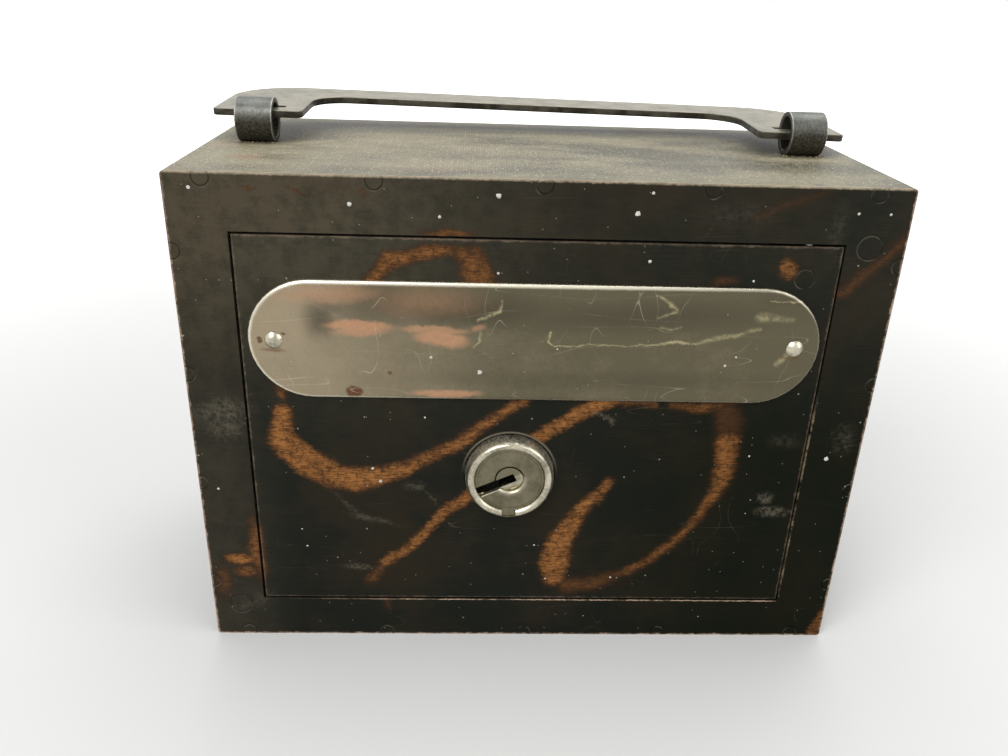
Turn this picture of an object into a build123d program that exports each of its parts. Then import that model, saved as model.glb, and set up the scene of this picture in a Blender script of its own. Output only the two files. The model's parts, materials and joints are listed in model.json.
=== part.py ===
from build123d import *
import math
import os

# Steel strongbox with a flush door, a lever lock and a loose bail handle.
# Millimetres. Origin: centre of the underside. +Z up, +X right, and the door faces -Y.

# Case
CASE_W = 127.0
CASE_H = 95.7
CASE_D = 60.7
CASE_EDGE_R = 0.7
FRONT_T = 2.4
BACK_T = 2.4
WALL_T = 2.4
WALL_SEAM = 0.3
WALL_SEAM_X = 14.0

# Door opening, as the margins of the front frame round it
MARGIN_LEFT = 10.1
MARGIN_RIGHT = 10.55
MARGIN_TOP = 10.0
MARGIN_BOTTOM = 9.2

# Gaps round the door
GAP_LEFT = 0.45
GAP_RIGHT = 0.3
GAP_TOP = 0.45
GAP_BOTTOM = 0.3

# Seam pins, driven from front and back along the edges of the walls and ground flush
SEAM_PIN_R = 1.45
SEAM_PIN_L = 6.0
SEAM_PIN_SUNK_TOP = 0.9
SEAM_PIN_SUNK_SIDE = 0.3
SEAM_PIN_ACROSS_COUNT = 5
SEAM_PIN_UP_COUNT = 4
SEAM_PIN_END_ACROSS = 6.5
SEAM_PIN_END_UP = 13.6

# Corner pillars that tie the front and the back together
PILLAR_R = 3.0
PILLAR_TENON_R = 2.2
PILLAR_FROM_SIDE = 5.9
PILLAR_FROM_TOP = 10.1
PILLAR_FROM_BOTTOM = 7.8

# Stop frame behind the front: the door shuts against it and the bolt hooks behind it
STOP_T = 1.2
STOP_LAP = 2.0
STOP_WALL_GAP = 0.2
STOP_EAR = 5.2
STOP_SWING_GAP = 0.5

# Coin slot in the back and its guard
COIN_SLOT_W = 32.0
COIN_SLOT_H = 3.2
COIN_SLOT_FROM_TOP = 17.0
COIN_SLOT_CHAMFER = 0.5
GUARD_T = 1.0
GUARD_SIDE = 4.0
GUARD_FLANGE = 8.0
GUARD_REACH = 9.0
GUARD_DROP = 9.0
GUARD_RIVET_R = 1.2
GUARD_RIVET_HEAD_R = 2.2
GUARD_RIVET_HEAD_T = 0.7
GUARD_RIVET_SPACING = 24.0

# Handle loops, rolled from strap, with tails clinched under the top wall
LOOP_BORE_R = 3.25
LOOP_STRAP_T = 0.9
LOOP_L = 7.0
LOOP_FROM_LEFT = 9.8
LOOP_FROM_RIGHT = 10.6
LOOP_BEHIND_FRONT = 29.8
LOOP_TAIL_SPREAD = 6.0
LOOP_SLOT_GAP = 0.1

# Bail handle: a flat plate whose two front bars lie in the loops
BAIL_T = 1.4
BAIL_PAST_LOOP = 7.95
BAIL_SLID = -0.1
BAIL_FRONT = 1.5
BAIL_SLOT_NEAR = 2.3
BAIL_SLOT_W = 2.1
BAIL_SLOT_SPARE = 2.6
BAIL_GRIP_FRONT = 18.1
BAIL_GRIP_W = 10.5
BAIL_ARM_PAST_LOOP = 8.85
BAIL_OUTER_R = 14.0
BAIL_INNER_R = 7.0
BAIL_END_R = 0.8
BAIL_FOOT_R = 1.5
BAIL_TILT_DEG = 1.7
BAIL_CANT_DEG = 0.9
BAIL_RAISED = 0.5

# Door
DOOR_T = FRONT_T
PIVOT_IN = 6.0
PIVOT_R = 0.8
PIVOT_CLEAR = 0.05
PIVOT_END_GAP = 0.1
DOOR_RIVET_R = 1.75
DOOR_RIVET_IN = 5.7

# Nameplate: a bare oblong with round ends, on two domed rivets
PLATE_H = 22.6
PLATE_T = 1.0
PLATE_BEVEL = 0.5
PLATE_FROM_LEFT = 1.35
PLATE_FROM_RIGHT = 1.25
PLATE_FROM_TOP = 7.55
PLATE_RIVET_IN = 4.7
PLATE_RIVET_HEAD_R = 1.6
PLATE_RIVET_HEAD_T = 0.8
PLATE_RIVET_R = 0.9
PLATE_RIVET_TAIL_T = 0.5

# Lock place on the door
LOCK_FROM_LEFT = 48.8
LOCK_BELOW_PLATE = 16.1

# Lock nose, the round collar that shows on the door
NOSE_R = 8.5
NOSE_PROUD = 3.0
NOSE_HOLE_GAP = 0.3
NOSE_SEAT_R = 6.6
NOSE_BORE_R = 6.0
NOSE_LIP_R = 7.45
NOSE_LIP_DROP = 2.2
NOSE_FACE_SUNK = 0.7

# Face disc in the nose
DISC_T = 1.0
DISC_GAP = 0.04
DISC_TAB_W = 2.6
DISC_TAB_OUT = 1.3
DISC_HOLE_CHAMFER = 0.35

# Keyway barrel
KEY_ANGLE_DEG = 205.0
KEY_SLOT_W = 1.8
DISC_SLOT_SPARE = 0.3
KEY_PAST_CENTRE = 1.1
BARREL_R = 2.6
BARREL_CLEAR = 0.05
BARREL_SUNK = 0.15
BARREL_DISH_DEG = 14.0
BARREL_COLLAR_R = 3.3
BARREL_COLLAR_T = 0.9
BARREL_COLLAR_GAP = 0.1
JOURNAL_R = 1.5

# Lock case, a tray screwed to the back of the door
TRAY_FLOOR_T = 1.2
TRAY_WALL_T = 1.2
TRAY_LEFT = 22.5
TRAY_RIGHT = 28.0
TRAY_DOWN = 7.5
TRAY_UP = 20.0
TRAY_EAR = 5.0
TRAY_EAR_H = 6.0
COVER_T = 1.2
SCREW_R = 1.0
SCREW_HEAD_R = 1.8
SCREW_HEAD_T = 0.9
SCREW_BITE = 1.7
COVER_BOSS_R = 2.0
COVER_BOSS_IN_WALL = 0.6

# Bolt
BOLT_T = 2.0
BOLT_H = 7.6
BOLT_ABOVE_KEY = 7.7
BOLT_THROW = 7.0
BOLT_TIP_BACK = 0.9
BOLT_TAIL = 3.2
BOLT_FLOOR_GAP = 0.2
BOLT_SIDE_GAP = 0.25
BOLT_SLOT_CLEAR = 0.1
BOLT_TIP_CHAMFER = 0.6
TALON_FROM_KEY = 4.4
TALON_W = 4.4
TALON_H = 3.0
STUMP_R = 1.1
STUMP_FROM_POST = 20.5

# Levers and their post
LEVER_COUNT = 3
LEVER_T = 1.0
LEVER_GAP = 0.15
LEVER_LIFTS_DEG = (6.0, 7.5, 9.0)
LEVER_HUB_R = 4.0
LEVER_TOP_H = 5.2
LEVER_NECK_H = 3.4
LEVER_CLEAR = 0.06
BELLY_FROM_KEY = 5.0
BELLY_R = 6.6
GATE_CLEAR = 0.35
GATE_LAND = 2.0
GATE_STEP_COUNT = 4
POCKET_H = 1.6
POST_FROM_KEY = 13.0
POST_R = 1.5

# Leaf springs that press the levers down
SPRING_T = 0.3
SPRING_W = 0.8
SPRING_GAP = 0.3
SPRING_BLOCK_W = 4.0
SPRING_BLOCK_H = 2.6
SPRING_TIP_FROM_POST = 20.0
SPRING_BOW = 1.2

# Bolt guide near the edge of the door
GUIDE_W = 5.0
GUIDE_FROM_EDGE = 8.0
GUIDE_T = 1.2
GUIDE_FOOT = 5.0

# Worked-out places
FRONT_Y = -CASE_D / 2
BACK_Y = CASE_D / 2
SIDE_X = CASE_W / 2
OPEN_X0 = -SIDE_X + MARGIN_LEFT
OPEN_X1 = SIDE_X - MARGIN_RIGHT
OPEN_Z0 = MARGIN_BOTTOM
OPEN_Z1 = CASE_H - MARGIN_TOP
DOOR_X0 = OPEN_X0 + GAP_LEFT
DOOR_X1 = OPEN_X1 - GAP_RIGHT
DOOR_Z0 = OPEN_Z0 + GAP_BOTTOM
DOOR_Z1 = OPEN_Z1 - GAP_TOP
PIVOT_X = DOOR_X1 - PIVOT_IN
PIVOT_Y = FRONT_Y + DOOR_T / 2
DOOR_BACK_Y = FRONT_Y + DOOR_T
STOP_Y0 = FRONT_Y + FRONT_T
STOP_Y1 = STOP_Y0 + STOP_T
PILLAR_X = SIDE_X - PILLAR_FROM_SIDE
PILLAR_Z = (PILLAR_FROM_BOTTOM, CASE_H - PILLAR_FROM_TOP)
COIN_SLOT_Z = CASE_H - COIN_SLOT_FROM_TOP
LOOP_OUTER_R = LOOP_BORE_R + LOOP_STRAP_T
LOOP_Y = FRONT_Y + LOOP_BEHIND_FRONT
LOOP_Z = CASE_H + LOOP_OUTER_R
LOOP_X = (-SIDE_X + LOOP_FROM_LEFT, SIDE_X - LOOP_FROM_RIGHT)
LOOP_SPACING = LOOP_X[1] - LOOP_X[0]
BAIL_X = (LOOP_X[0] + LOOP_X[1]) / 2 + BAIL_SLID
PLATE_L = DOOR_X1 - DOOR_X0 - PLATE_FROM_LEFT - PLATE_FROM_RIGHT
PLATE_X = DOOR_X0 + PLATE_FROM_LEFT + PLATE_L / 2
PLATE_Z = DOOR_Z1 - PLATE_FROM_TOP - PLATE_H / 2
PLATE_RIVET_X = (PLATE_X - PLATE_L / 2 + PLATE_RIVET_IN, PLATE_X + PLATE_L / 2 - PLATE_RIVET_IN)
KEY_X = DOOR_X0 + LOCK_FROM_LEFT
KEY_Z = PLATE_Z - PLATE_H / 2 - LOCK_BELOW_PLATE
NOSE_TIP_Y = FRONT_Y - NOSE_PROUD
DISC_FRONT_Y = NOSE_TIP_Y + NOSE_FACE_SUNK
DISC_BACK_Y = DISC_FRONT_Y + DISC_T
FLOOR_BACK_Y = DOOR_BACK_Y + TRAY_FLOOR_T
BOLT_Y0 = FLOOR_BACK_Y + BOLT_FLOOR_GAP
BOLT_Y1 = BOLT_Y0 + BOLT_T
BOLT_Z = KEY_Z + BOLT_ABOVE_KEY
BOLT_TIP_X = OPEN_X0 + STOP_LAP + BOLT_TIP_BACK
POST_X = KEY_X + POST_FROM_KEY
STUMP_X = POST_X - STUMP_FROM_POST
LEVER_PITCH = LEVER_T + LEVER_GAP
LEVERS_END_Y = BOLT_Y1 + LEVER_GAP + LEVER_COUNT * LEVER_PITCH
COVER_Y0 = LEVERS_END_Y + LEVER_GAP
COVER_Y1 = COVER_Y0 + COVER_T
TRAY_X0 = KEY_X - TRAY_LEFT
TRAY_X1 = KEY_X + TRAY_RIGHT
TRAY_Z0 = KEY_Z - TRAY_DOWN
TRAY_Z1 = KEY_Z + TRAY_UP
GUIDE_X = DOOR_X0 + GUIDE_FROM_EDGE


def block(x0, x1, y0, y1, z0, z1):
    """A box between two corners."""
    centre = Pos((x0 + x1) / 2, (y0 + y1) / 2, (z0 + z1) / 2)
    return centre * Box(x1 - x0, y1 - y0, z1 - z0)


def rod_y(x, z, radius, y0, y1):
    """A round bar along Y."""
    return Pos(x, (y0 + y1) / 2, z) * Rot(90, 0, 0) * Cylinder(radius, y1 - y0)


def rod_z(x, y, radius, z0, z1):
    """A round bar along Z."""
    return Pos(x, y, (z0 + z1) / 2) * Cylinder(radius, z1 - z0)


def rod_x(y, z, radius, x0, x1):
    """A round bar along X."""
    return Pos((x0 + x1) / 2, y, z) * Rot(0, 90, 0) * Cylinder(radius, x1 - x0)


def upright(sketch, y0, y1):
    """Extrudes a sketch drawn in X and Z, from y0 back to y1."""
    return extrude(Plane((0, y1, 0), x_dir=(1, 0, 0), z_dir=(0, -1, 0)) * sketch, amount=y1 - y0)


def turned_y(profile, x, z):
    """Revolves a profile drawn as (radius, y) about the Y axis, and moves it to x and z."""
    return Pos(x, 0, z) * revolve(profile, Axis.Y)


def spread(low, high, count):
    """Evenly spaced values, both ends included."""
    return [low + (high - low) * n / (count - 1) for n in range(count)]


def seam_pin_places():
    """Centres of the seam pins round one face, as (x, z)."""
    across = spread(-SIDE_X + SEAM_PIN_END_ACROSS, SIDE_X - SEAM_PIN_END_ACROSS, SEAM_PIN_ACROSS_COUNT)
    up = spread(SEAM_PIN_END_UP, CASE_H - SEAM_PIN_END_UP, SEAM_PIN_UP_COUNT)
    rows = [(x, z) for x in across for z in (SEAM_PIN_SUNK_TOP, CASE_H - SEAM_PIN_SUNK_TOP)]
    columns = [(x, z) for z in up for x in (SEAM_PIN_SUNK_SIDE - SIDE_X, SIDE_X - SEAM_PIN_SUNK_SIDE)]
    return rows + columns


def seam_pins(y0, y1):
    """Full round pins along Y, before they are ground flush."""
    return [rod_y(x, z, SEAM_PIN_R, y0, y1) for x, z in seam_pin_places()]


FRONT_PINS = seam_pins(FRONT_Y, FRONT_Y + SEAM_PIN_L)
BACK_PINS = seam_pins(BACK_Y - SEAM_PIN_L, BACK_Y)
PILLAR_PLACES = [(x, z) for x in (-PILLAR_X, PILLAR_X) for z in PILLAR_Z]


def case_block(y0, y1):
    """The case's outer block between two depths, with its four long edges eased."""
    block_all = block(-SIDE_X, SIDE_X, y0, y1, 0, CASE_H)
    return fillet(block_all.edges().filter_by(Axis.Y), CASE_EDGE_R)


def wall_wrap():
    """Top, bottom and sides, bent from one strip with its butt seam underneath."""
    y0 = FRONT_Y + FRONT_T
    y1 = BACK_Y - BACK_T
    inside = block(-SIDE_X + WALL_T, SIDE_X - WALL_T, y0, y1, WALL_T, CASE_H - WALL_T)
    seam = block(WALL_SEAM_X - WALL_SEAM / 2, WALL_SEAM_X + WALL_SEAM / 2, y0, y1, 0, WALL_T)
    tail_t = 2 * LOOP_STRAP_T
    slots = [
        block(
            x - LOOP_L / 2 - LOOP_SLOT_GAP, x + LOOP_L / 2 + LOOP_SLOT_GAP,
            LOOP_Y - tail_t / 2 - LOOP_SLOT_GAP, LOOP_Y + tail_t / 2 + LOOP_SLOT_GAP,
            CASE_H - WALL_T, CASE_H,
        )
        for x in LOOP_X
    ]
    return case_block(y0, y1) - inside - seam - slots - FRONT_PINS - BACK_PINS


def front_frame():
    """The front plate with the door opening."""
    plate = case_block(FRONT_Y, FRONT_Y + FRONT_T)
    opening = block(OPEN_X0, OPEN_X1, FRONT_Y, FRONT_Y + FRONT_T, OPEN_Z0, OPEN_Z1)
    tenons = [rod_y(x, z, PILLAR_TENON_R, FRONT_Y, FRONT_Y + FRONT_T) for x, z in PILLAR_PLACES]
    pivot_bore = rod_z(PIVOT_X, PIVOT_Y, PIVOT_R, 0, CASE_H)
    return plate - opening - tenons - FRONT_PINS - pivot_bore


def back_plate():
    """The back plate with the coin slot."""
    y0 = BACK_Y - BACK_T
    plate = case_block(y0, BACK_Y)
    slot = block(
        -COIN_SLOT_W / 2, COIN_SLOT_W / 2, y0, BACK_Y,
        COIN_SLOT_Z - COIN_SLOT_H / 2, COIN_SLOT_Z + COIN_SLOT_H / 2,
    )
    tenons = [rod_y(x, z, PILLAR_TENON_R, y0, BACK_Y) for x, z in PILLAR_PLACES]
    plate = plate - slot
    mouth = plate.faces().sort_by(Axis.Y)[-1].inner_wires()[0].edges()
    plate = chamfer(mouth, COIN_SLOT_CHAMFER)
    rivets = [rod_y(x, z, GUARD_RIVET_R, y0, BACK_Y) for x, z in guard_rivet_places()]
    return plate - tenons - BACK_PINS - rivets


def group(pieces):
    """Several like pieces as one node of separate solids."""
    return Compound(children=[piece.solid() for piece in pieces])


def ground_flush(pins):
    """Cuts pins back to the faces of the case, as separate solids."""
    case = case_block(FRONT_Y, BACK_Y)
    return group([case & pin for pin in pins])


def corner_pillars():
    """Four rods whose riveted tenons end flush in the front and the back."""
    rods = []
    for x, z in PILLAR_PLACES:
        rod = rod_y(x, z, PILLAR_R, STOP_Y1, BACK_Y - BACK_T)
        rods.append(rod + rod_y(x, z, PILLAR_TENON_R, FRONT_Y, BACK_Y))
    return group(rods)


def stop_frame():
    """The frame behind the front: a left leg, two arms, and ears on the hinge side's pillars."""
    side = SIDE_X - WALL_T - STOP_WALL_GAP
    z0 = WALL_T + STOP_WALL_GAP
    z1 = CASE_H - WALL_T - STOP_WALL_GAP
    outline = block(-side, side, STOP_Y0, STOP_Y1, z0, z1)
    arm_end = PIVOT_X - math.hypot(PIVOT_IN, DOOR_T / 2) - STOP_SWING_GAP
    window = block(
        OPEN_X0 + STOP_LAP, arm_end, STOP_Y0, STOP_Y1, OPEN_Z0 + STOP_LAP, OPEN_Z1 - STOP_LAP
    )
    swing = block(
        arm_end, OPEN_X1 + GAP_RIGHT, STOP_Y0, STOP_Y1, OPEN_Z0 - GAP_BOTTOM, OPEN_Z1 + GAP_BOTTOM
    )
    hinge_side = block(OPEN_X1, side, STOP_Y0, STOP_Y1, PILLAR_Z[0] + STOP_EAR, PILLAR_Z[1] - STOP_EAR)
    tenons = [rod_y(x, z, PILLAR_TENON_R, STOP_Y0, STOP_Y1) for x, z in PILLAR_PLACES]
    return outline - window - swing - hinge_side - tenons


def guard_rivet_places():
    """Centres of the two coin guard rivets, as (x, z)."""
    z = COIN_SLOT_Z + COIN_SLOT_H / 2 + GUARD_FLANGE / 2
    return [(-GUARD_RIVET_SPACING / 2, z), (GUARD_RIVET_SPACING / 2, z)]


def coin_guard():
    """A bent plate that turns coins down and stops them sliding back out of the slot."""
    y0 = BACK_Y - BACK_T
    half_w = COIN_SLOT_W / 2 + GUARD_SIDE
    bend_z = COIN_SLOT_Z + COIN_SLOT_H / 2
    with BuildSketch(Plane.YZ) as section:
        with BuildLine():
            Polyline(
                (y0, bend_z + GUARD_FLANGE),
                (y0, bend_z),
                (y0 - GUARD_REACH, bend_z - GUARD_REACH / 2),
                (y0 - GUARD_REACH, bend_z - GUARD_REACH / 2 - GUARD_DROP),
                (y0 - GUARD_REACH - GUARD_T, bend_z - GUARD_REACH / 2 - GUARD_DROP),
                (y0 - GUARD_REACH - GUARD_T, bend_z - GUARD_REACH / 2 + GUARD_T / 2),
                (y0 - GUARD_T, bend_z + GUARD_T),
                (y0 - GUARD_T, bend_z + GUARD_FLANGE),
                close=True,
            )
        make_face()
    guard = Pos(-half_w, 0, 0) * extrude(section.sketch, amount=2 * half_w)
    return guard - [rod_y(x, z, GUARD_RIVET_R, y0 - GUARD_T, y0) for x, z in guard_rivet_places()]


def coin_guard_rivets():
    """Two rivets, flush outside, with flat heads on the guard."""
    y0 = BACK_Y - BACK_T - GUARD_T
    rivets = []
    for x, z in guard_rivet_places():
        head = rod_y(x, z, GUARD_RIVET_HEAD_R, y0 - GUARD_RIVET_HEAD_T, y0)
        rivets.append(head + rod_y(x, z, GUARD_RIVET_R, y0, BACK_Y))
    return group(rivets)


def handle_loop(x):
    """One rolled loop with its tails through the top wall, clinched flat inside."""
    x0 = x - LOOP_L / 2
    x1 = x + LOOP_L / 2
    under = CASE_H - WALL_T
    ring = rod_x(LOOP_Y, LOOP_Z, LOOP_OUTER_R, x0, x1)
    neck = block(x0, x1, LOOP_Y - LOOP_STRAP_T, LOOP_Y + LOOP_STRAP_T, under, CASE_H + LOOP_STRAP_T)
    tails = block(
        x0, x1, LOOP_Y - LOOP_TAIL_SPREAD, LOOP_Y + LOOP_TAIL_SPREAD, under - LOOP_STRAP_T, under
    )
    return ring + neck + tails - rod_x(LOOP_Y, LOOP_Z, LOOP_BORE_R, x0, x1)


def bail_outline():
    """The bail's flat outline, with the loops' centre line on its X axis."""
    length = LOOP_SPACING + 2 * BAIL_PAST_LOOP
    rear = BAIL_GRIP_FRONT + BAIL_GRIP_W
    whole = Pos(0, (rear - BAIL_FRONT) / 2) * Rectangle(length, rear + BAIL_FRONT)
    front_corners = whole.vertices().filter_by(lambda v: v.Y < 0)
    whole = fillet(front_corners, BAIL_END_R)
    rear_corners = whole.vertices().filter_by(lambda v: v.Y > rear - BAIL_GRIP_W / 2)
    whole = fillet(rear_corners, BAIL_OUTER_R)
    finger_w = LOOP_SPACING - 2 * BAIL_ARM_PAST_LOOP
    finger = Pos(0, (BAIL_GRIP_FRONT - BAIL_FRONT) / 2) * Rectangle(finger_w, BAIL_GRIP_FRONT + BAIL_FRONT)
    finger = fillet(finger.vertices().filter_by(lambda v: v.Y > 0), BAIL_INNER_R)
    whole = whole - finger
    feet = whole.vertices().filter_by(lambda v: v.Y < 0 and abs(v.X) < LOOP_SPACING / 2)
    return fillet(feet, BAIL_FOOT_R)


def handle_bail():
    """The bail at rest: tilted back and a little canted, as it hangs loose in its loops."""
    flat = extrude(bail_outline(), amount=BAIL_T / 2, both=True)
    slot_l = LOOP_L + BAIL_SLOT_SPARE
    for x in LOOP_X:
        centre_x = x - BAIL_X
        flat = flat - block(
            centre_x - slot_l / 2, centre_x + slot_l / 2,
            BAIL_SLOT_NEAR, BAIL_SLOT_NEAR + BAIL_SLOT_W, -BAIL_T, BAIL_T,
        )
    canted = Pos(BAIL_X, 0, BAIL_RAISED) * Rot(0, BAIL_CANT_DEG, 0) * flat
    return Pos(0, LOOP_Y, LOOP_Z) * Rot(BAIL_TILT_DEG, 0, 0) * canted


def door_rivet_places():
    """Centres of the two cross rivets at the pivots, as (x, z)."""
    return [(PIVOT_X, DOOR_Z0 + DOOR_RIVET_IN), (PIVOT_X, DOOR_Z1 - DOOR_RIVET_IN)]


def pivot_pin(upper):
    """A pivot pin, pressed through the frame's margin and running in the door's edge."""
    low, high = [z for _, z in door_rivet_places()]
    inner = DOOR_RIVET_R + PIVOT_END_GAP
    if upper:
        return rod_z(PIVOT_X, PIVOT_Y, PIVOT_R, high + inner, CASE_H)
    return rod_z(PIVOT_X, PIVOT_Y, PIVOT_R, 0, low - inner)


def tray_screw_places():
    """Centres of the screws through the lock case's ears, as (x, z)."""
    xs = (TRAY_X0 - TRAY_EAR / 2, TRAY_X1 + TRAY_EAR / 2)
    zs = (TRAY_Z0 + TRAY_EAR_H / 2, TRAY_Z1 - TRAY_EAR_H / 2)
    return [(x, z) for x in xs for z in zs]


def guide_screw_places():
    """Centres of the screws through the bolt guide's feet, as (x, z)."""
    reach = BOLT_H / 2 + BOLT_SIDE_GAP + GUIDE_T + GUIDE_FOOT / 2
    return [(GUIDE_X, BOLT_Z - reach), (GUIDE_X, BOLT_Z + reach)]


def door_panel():
    """The flush door plate with every hole that it carries."""
    plate = block(DOOR_X0, DOOR_X1, FRONT_Y, DOOR_BACK_Y, DOOR_Z0, DOOR_Z1)
    plate = plate - rod_y(KEY_X, KEY_Z, NOSE_R + NOSE_HOLE_GAP, FRONT_Y, DOOR_BACK_Y)
    rivets = [(x, PLATE_Z) for x in PLATE_RIVET_X]
    plate = plate - [rod_y(x, z, PLATE_RIVET_R, FRONT_Y, DOOR_BACK_Y) for x, z in rivets]
    plate = plate - [rod_y(x, z, DOOR_RIVET_R, FRONT_Y, DOOR_BACK_Y) for x, z in door_rivet_places()]
    for x, z in tray_screw_places() + guide_screw_places():
        plate = plate - rod_y(x, z, SCREW_R, DOOR_BACK_Y - SCREW_BITE, DOOR_BACK_Y)
    bore_r = PIVOT_R + PIVOT_CLEAR
    low, high = [z for _, z in door_rivet_places()]
    plate = plate - rod_z(PIVOT_X, PIVOT_Y, bore_r, DOOR_Z0, low)
    return plate - rod_z(PIVOT_X, PIVOT_Y, bore_r, high, DOOR_Z1)


def door_rivets():
    """Two flush rivets across the pivot bores of the door."""
    return group([rod_y(x, z, DOOR_RIVET_R, FRONT_Y, DOOR_BACK_Y) for x, z in door_rivet_places()])


def nameplate():
    """A bare plate with full round ends and a bevelled edge."""
    outline = Pos(PLATE_X, PLATE_Z) * SlotOverall(PLATE_L, PLATE_H)
    plate = upright(outline, FRONT_Y - PLATE_T, FRONT_Y)
    rim = plate.faces().sort_by(Axis.Y)[0].edges()
    plate = chamfer(rim, PLATE_BEVEL)
    return plate - [rod_y(x, PLATE_Z, PLATE_RIVET_R, FRONT_Y - PLATE_T, FRONT_Y) for x in PLATE_RIVET_X]


def nameplate_rivets():
    """Two rivets with domed heads on the plate and flat tails inside the door."""
    dome_r = (PLATE_RIVET_HEAD_R**2 + PLATE_RIVET_HEAD_T**2) / (2 * PLATE_RIVET_HEAD_T)
    seat_y = FRONT_Y - PLATE_T
    rivets = []
    for x in PLATE_RIVET_X:
        ball = Pos(x, seat_y - PLATE_RIVET_HEAD_T + dome_r, PLATE_Z) * Sphere(dome_r)
        dome = ball & rod_y(x, PLATE_Z, dome_r, seat_y - PLATE_RIVET_HEAD_T, seat_y)
        shank = rod_y(x, PLATE_Z, PLATE_RIVET_R, seat_y, DOOR_BACK_Y)
        tail = rod_y(x, PLATE_Z, PLATE_RIVET_HEAD_R, DOOR_BACK_Y, DOOR_BACK_Y + PLATE_RIVET_TAIL_T)
        rivets.append(dome + shank + tail)
    return group(rivets)


def key_slot(inner, outer, y0, y1, width):
    """The straight key slot as a solid, from inner to outer along its direction."""
    bar = block(inner, outer, y0, y1, -width / 2, width / 2)
    return Pos(KEY_X, 0, KEY_Z) * Rot(0, -KEY_ANGLE_DEG, 0) * bar


def lock_nose():
    """The collar: a seat for the disc, a sloped mouth, a domed lip and a notch for the tab."""
    mouth = (NOSE_SEAT_R, DISC_FRONT_Y - DISC_GAP)
    crest = (NOSE_LIP_R, NOSE_TIP_Y)
    slope = NOSE_R - NOSE_LIP_R
    shoulder = (NOSE_R, NOSE_TIP_Y + NOSE_LIP_DROP)
    slope_centre = (NOSE_LIP_R, NOSE_TIP_Y + NOSE_LIP_DROP)
    with BuildSketch() as section:
        with BuildLine():
            Polyline(
                shoulder,
                (NOSE_R, DOOR_BACK_Y),
                (NOSE_BORE_R, DOOR_BACK_Y),
                (NOSE_BORE_R, DISC_BACK_Y),
                (NOSE_SEAT_R, DISC_BACK_Y),
                mouth,
            )
            TangentArc(crest, mouth, tangent=(-1, 0))
            EllipticalCenterArc(slope_centre, slope, NOSE_LIP_DROP, start_angle=270, arc_size=90)
        make_face()
    nose = turned_y(section.sketch, KEY_X, KEY_Z)
    notch_w = DISC_TAB_W + 2 * DISC_GAP
    notch_out = NOSE_SEAT_R + DISC_TAB_OUT + DISC_GAP
    notch = block(
        KEY_X - notch_w / 2, KEY_X + notch_w / 2,
        NOSE_TIP_Y, DISC_BACK_Y, KEY_Z - notch_out, KEY_Z - NOSE_BORE_R,
    )
    way = key_slot(0, NOSE_SEAT_R, DISC_BACK_Y, DOOR_BACK_Y, KEY_SLOT_W)
    return nose - notch - way


def face_disc():
    """The fixed disc with its tab, the barrel's hole and the open key slot."""
    radius = NOSE_SEAT_R - DISC_GAP
    disc = rod_y(KEY_X, KEY_Z, radius, DISC_FRONT_Y, DISC_BACK_Y)
    tab = block(
        KEY_X - DISC_TAB_W / 2, KEY_X + DISC_TAB_W / 2,
        DISC_FRONT_Y, DISC_BACK_Y, KEY_Z - NOSE_SEAT_R - DISC_TAB_OUT, KEY_Z,
    )
    hole_r = BARREL_R + BARREL_CLEAR
    hole = rod_y(KEY_X, KEY_Z, hole_r, DISC_FRONT_Y, DISC_BACK_Y)
    sink = Pos(KEY_X, DISC_FRONT_Y, KEY_Z) * Rot(-90, 0, 0) * Pos(0, 0, DISC_HOLE_CHAMFER / 2) * Cone(
        hole_r + DISC_HOLE_CHAMFER, hole_r, DISC_HOLE_CHAMFER
    )
    slot_w = KEY_SLOT_W + DISC_SLOT_SPARE
    return disc + tab - hole - sink - key_slot(0, NOSE_R, DISC_FRONT_Y, DISC_BACK_Y, slot_w)


def key_barrel():
    """The revolving barrel: front half dished, a collar behind the case floor, a rear journal."""
    front_y = DISC_FRONT_Y + BARREL_SUNK
    body_end = COVER_Y0 - BARREL_COLLAR_GAP
    collar_y = FLOOR_BACK_Y + BARREL_COLLAR_GAP
    body = rod_y(KEY_X, KEY_Z, BARREL_R, front_y, body_end)
    collar = rod_y(KEY_X, KEY_Z, BARREL_COLLAR_R, collar_y, collar_y + BARREL_COLLAR_T)
    journal = rod_y(KEY_X, KEY_Z, JOURNAL_R, body_end, COVER_Y1)
    angle = math.radians(KEY_ANGLE_DEG)
    slope = math.radians(BARREL_DISH_DEG)
    along = Vector(math.cos(angle), 0, math.sin(angle))
    aside = Vector(-math.sin(angle), 0, math.cos(angle))
    floor = Plane(
        (KEY_X, front_y, KEY_Z), x_dir=along, z_dir=aside * math.sin(slope) + Vector(0, -math.cos(slope), 0)
    )
    dish = floor * block(-2 * BARREL_R, 2 * BARREL_R, 0, 2 * BARREL_R, 0, 2 * BARREL_R)
    slot = key_slot(-KEY_PAST_CENTRE, BARREL_COLLAR_R + KEY_SLOT_W, front_y, body_end, KEY_SLOT_W)
    return body + collar + journal - dish - slot


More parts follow.
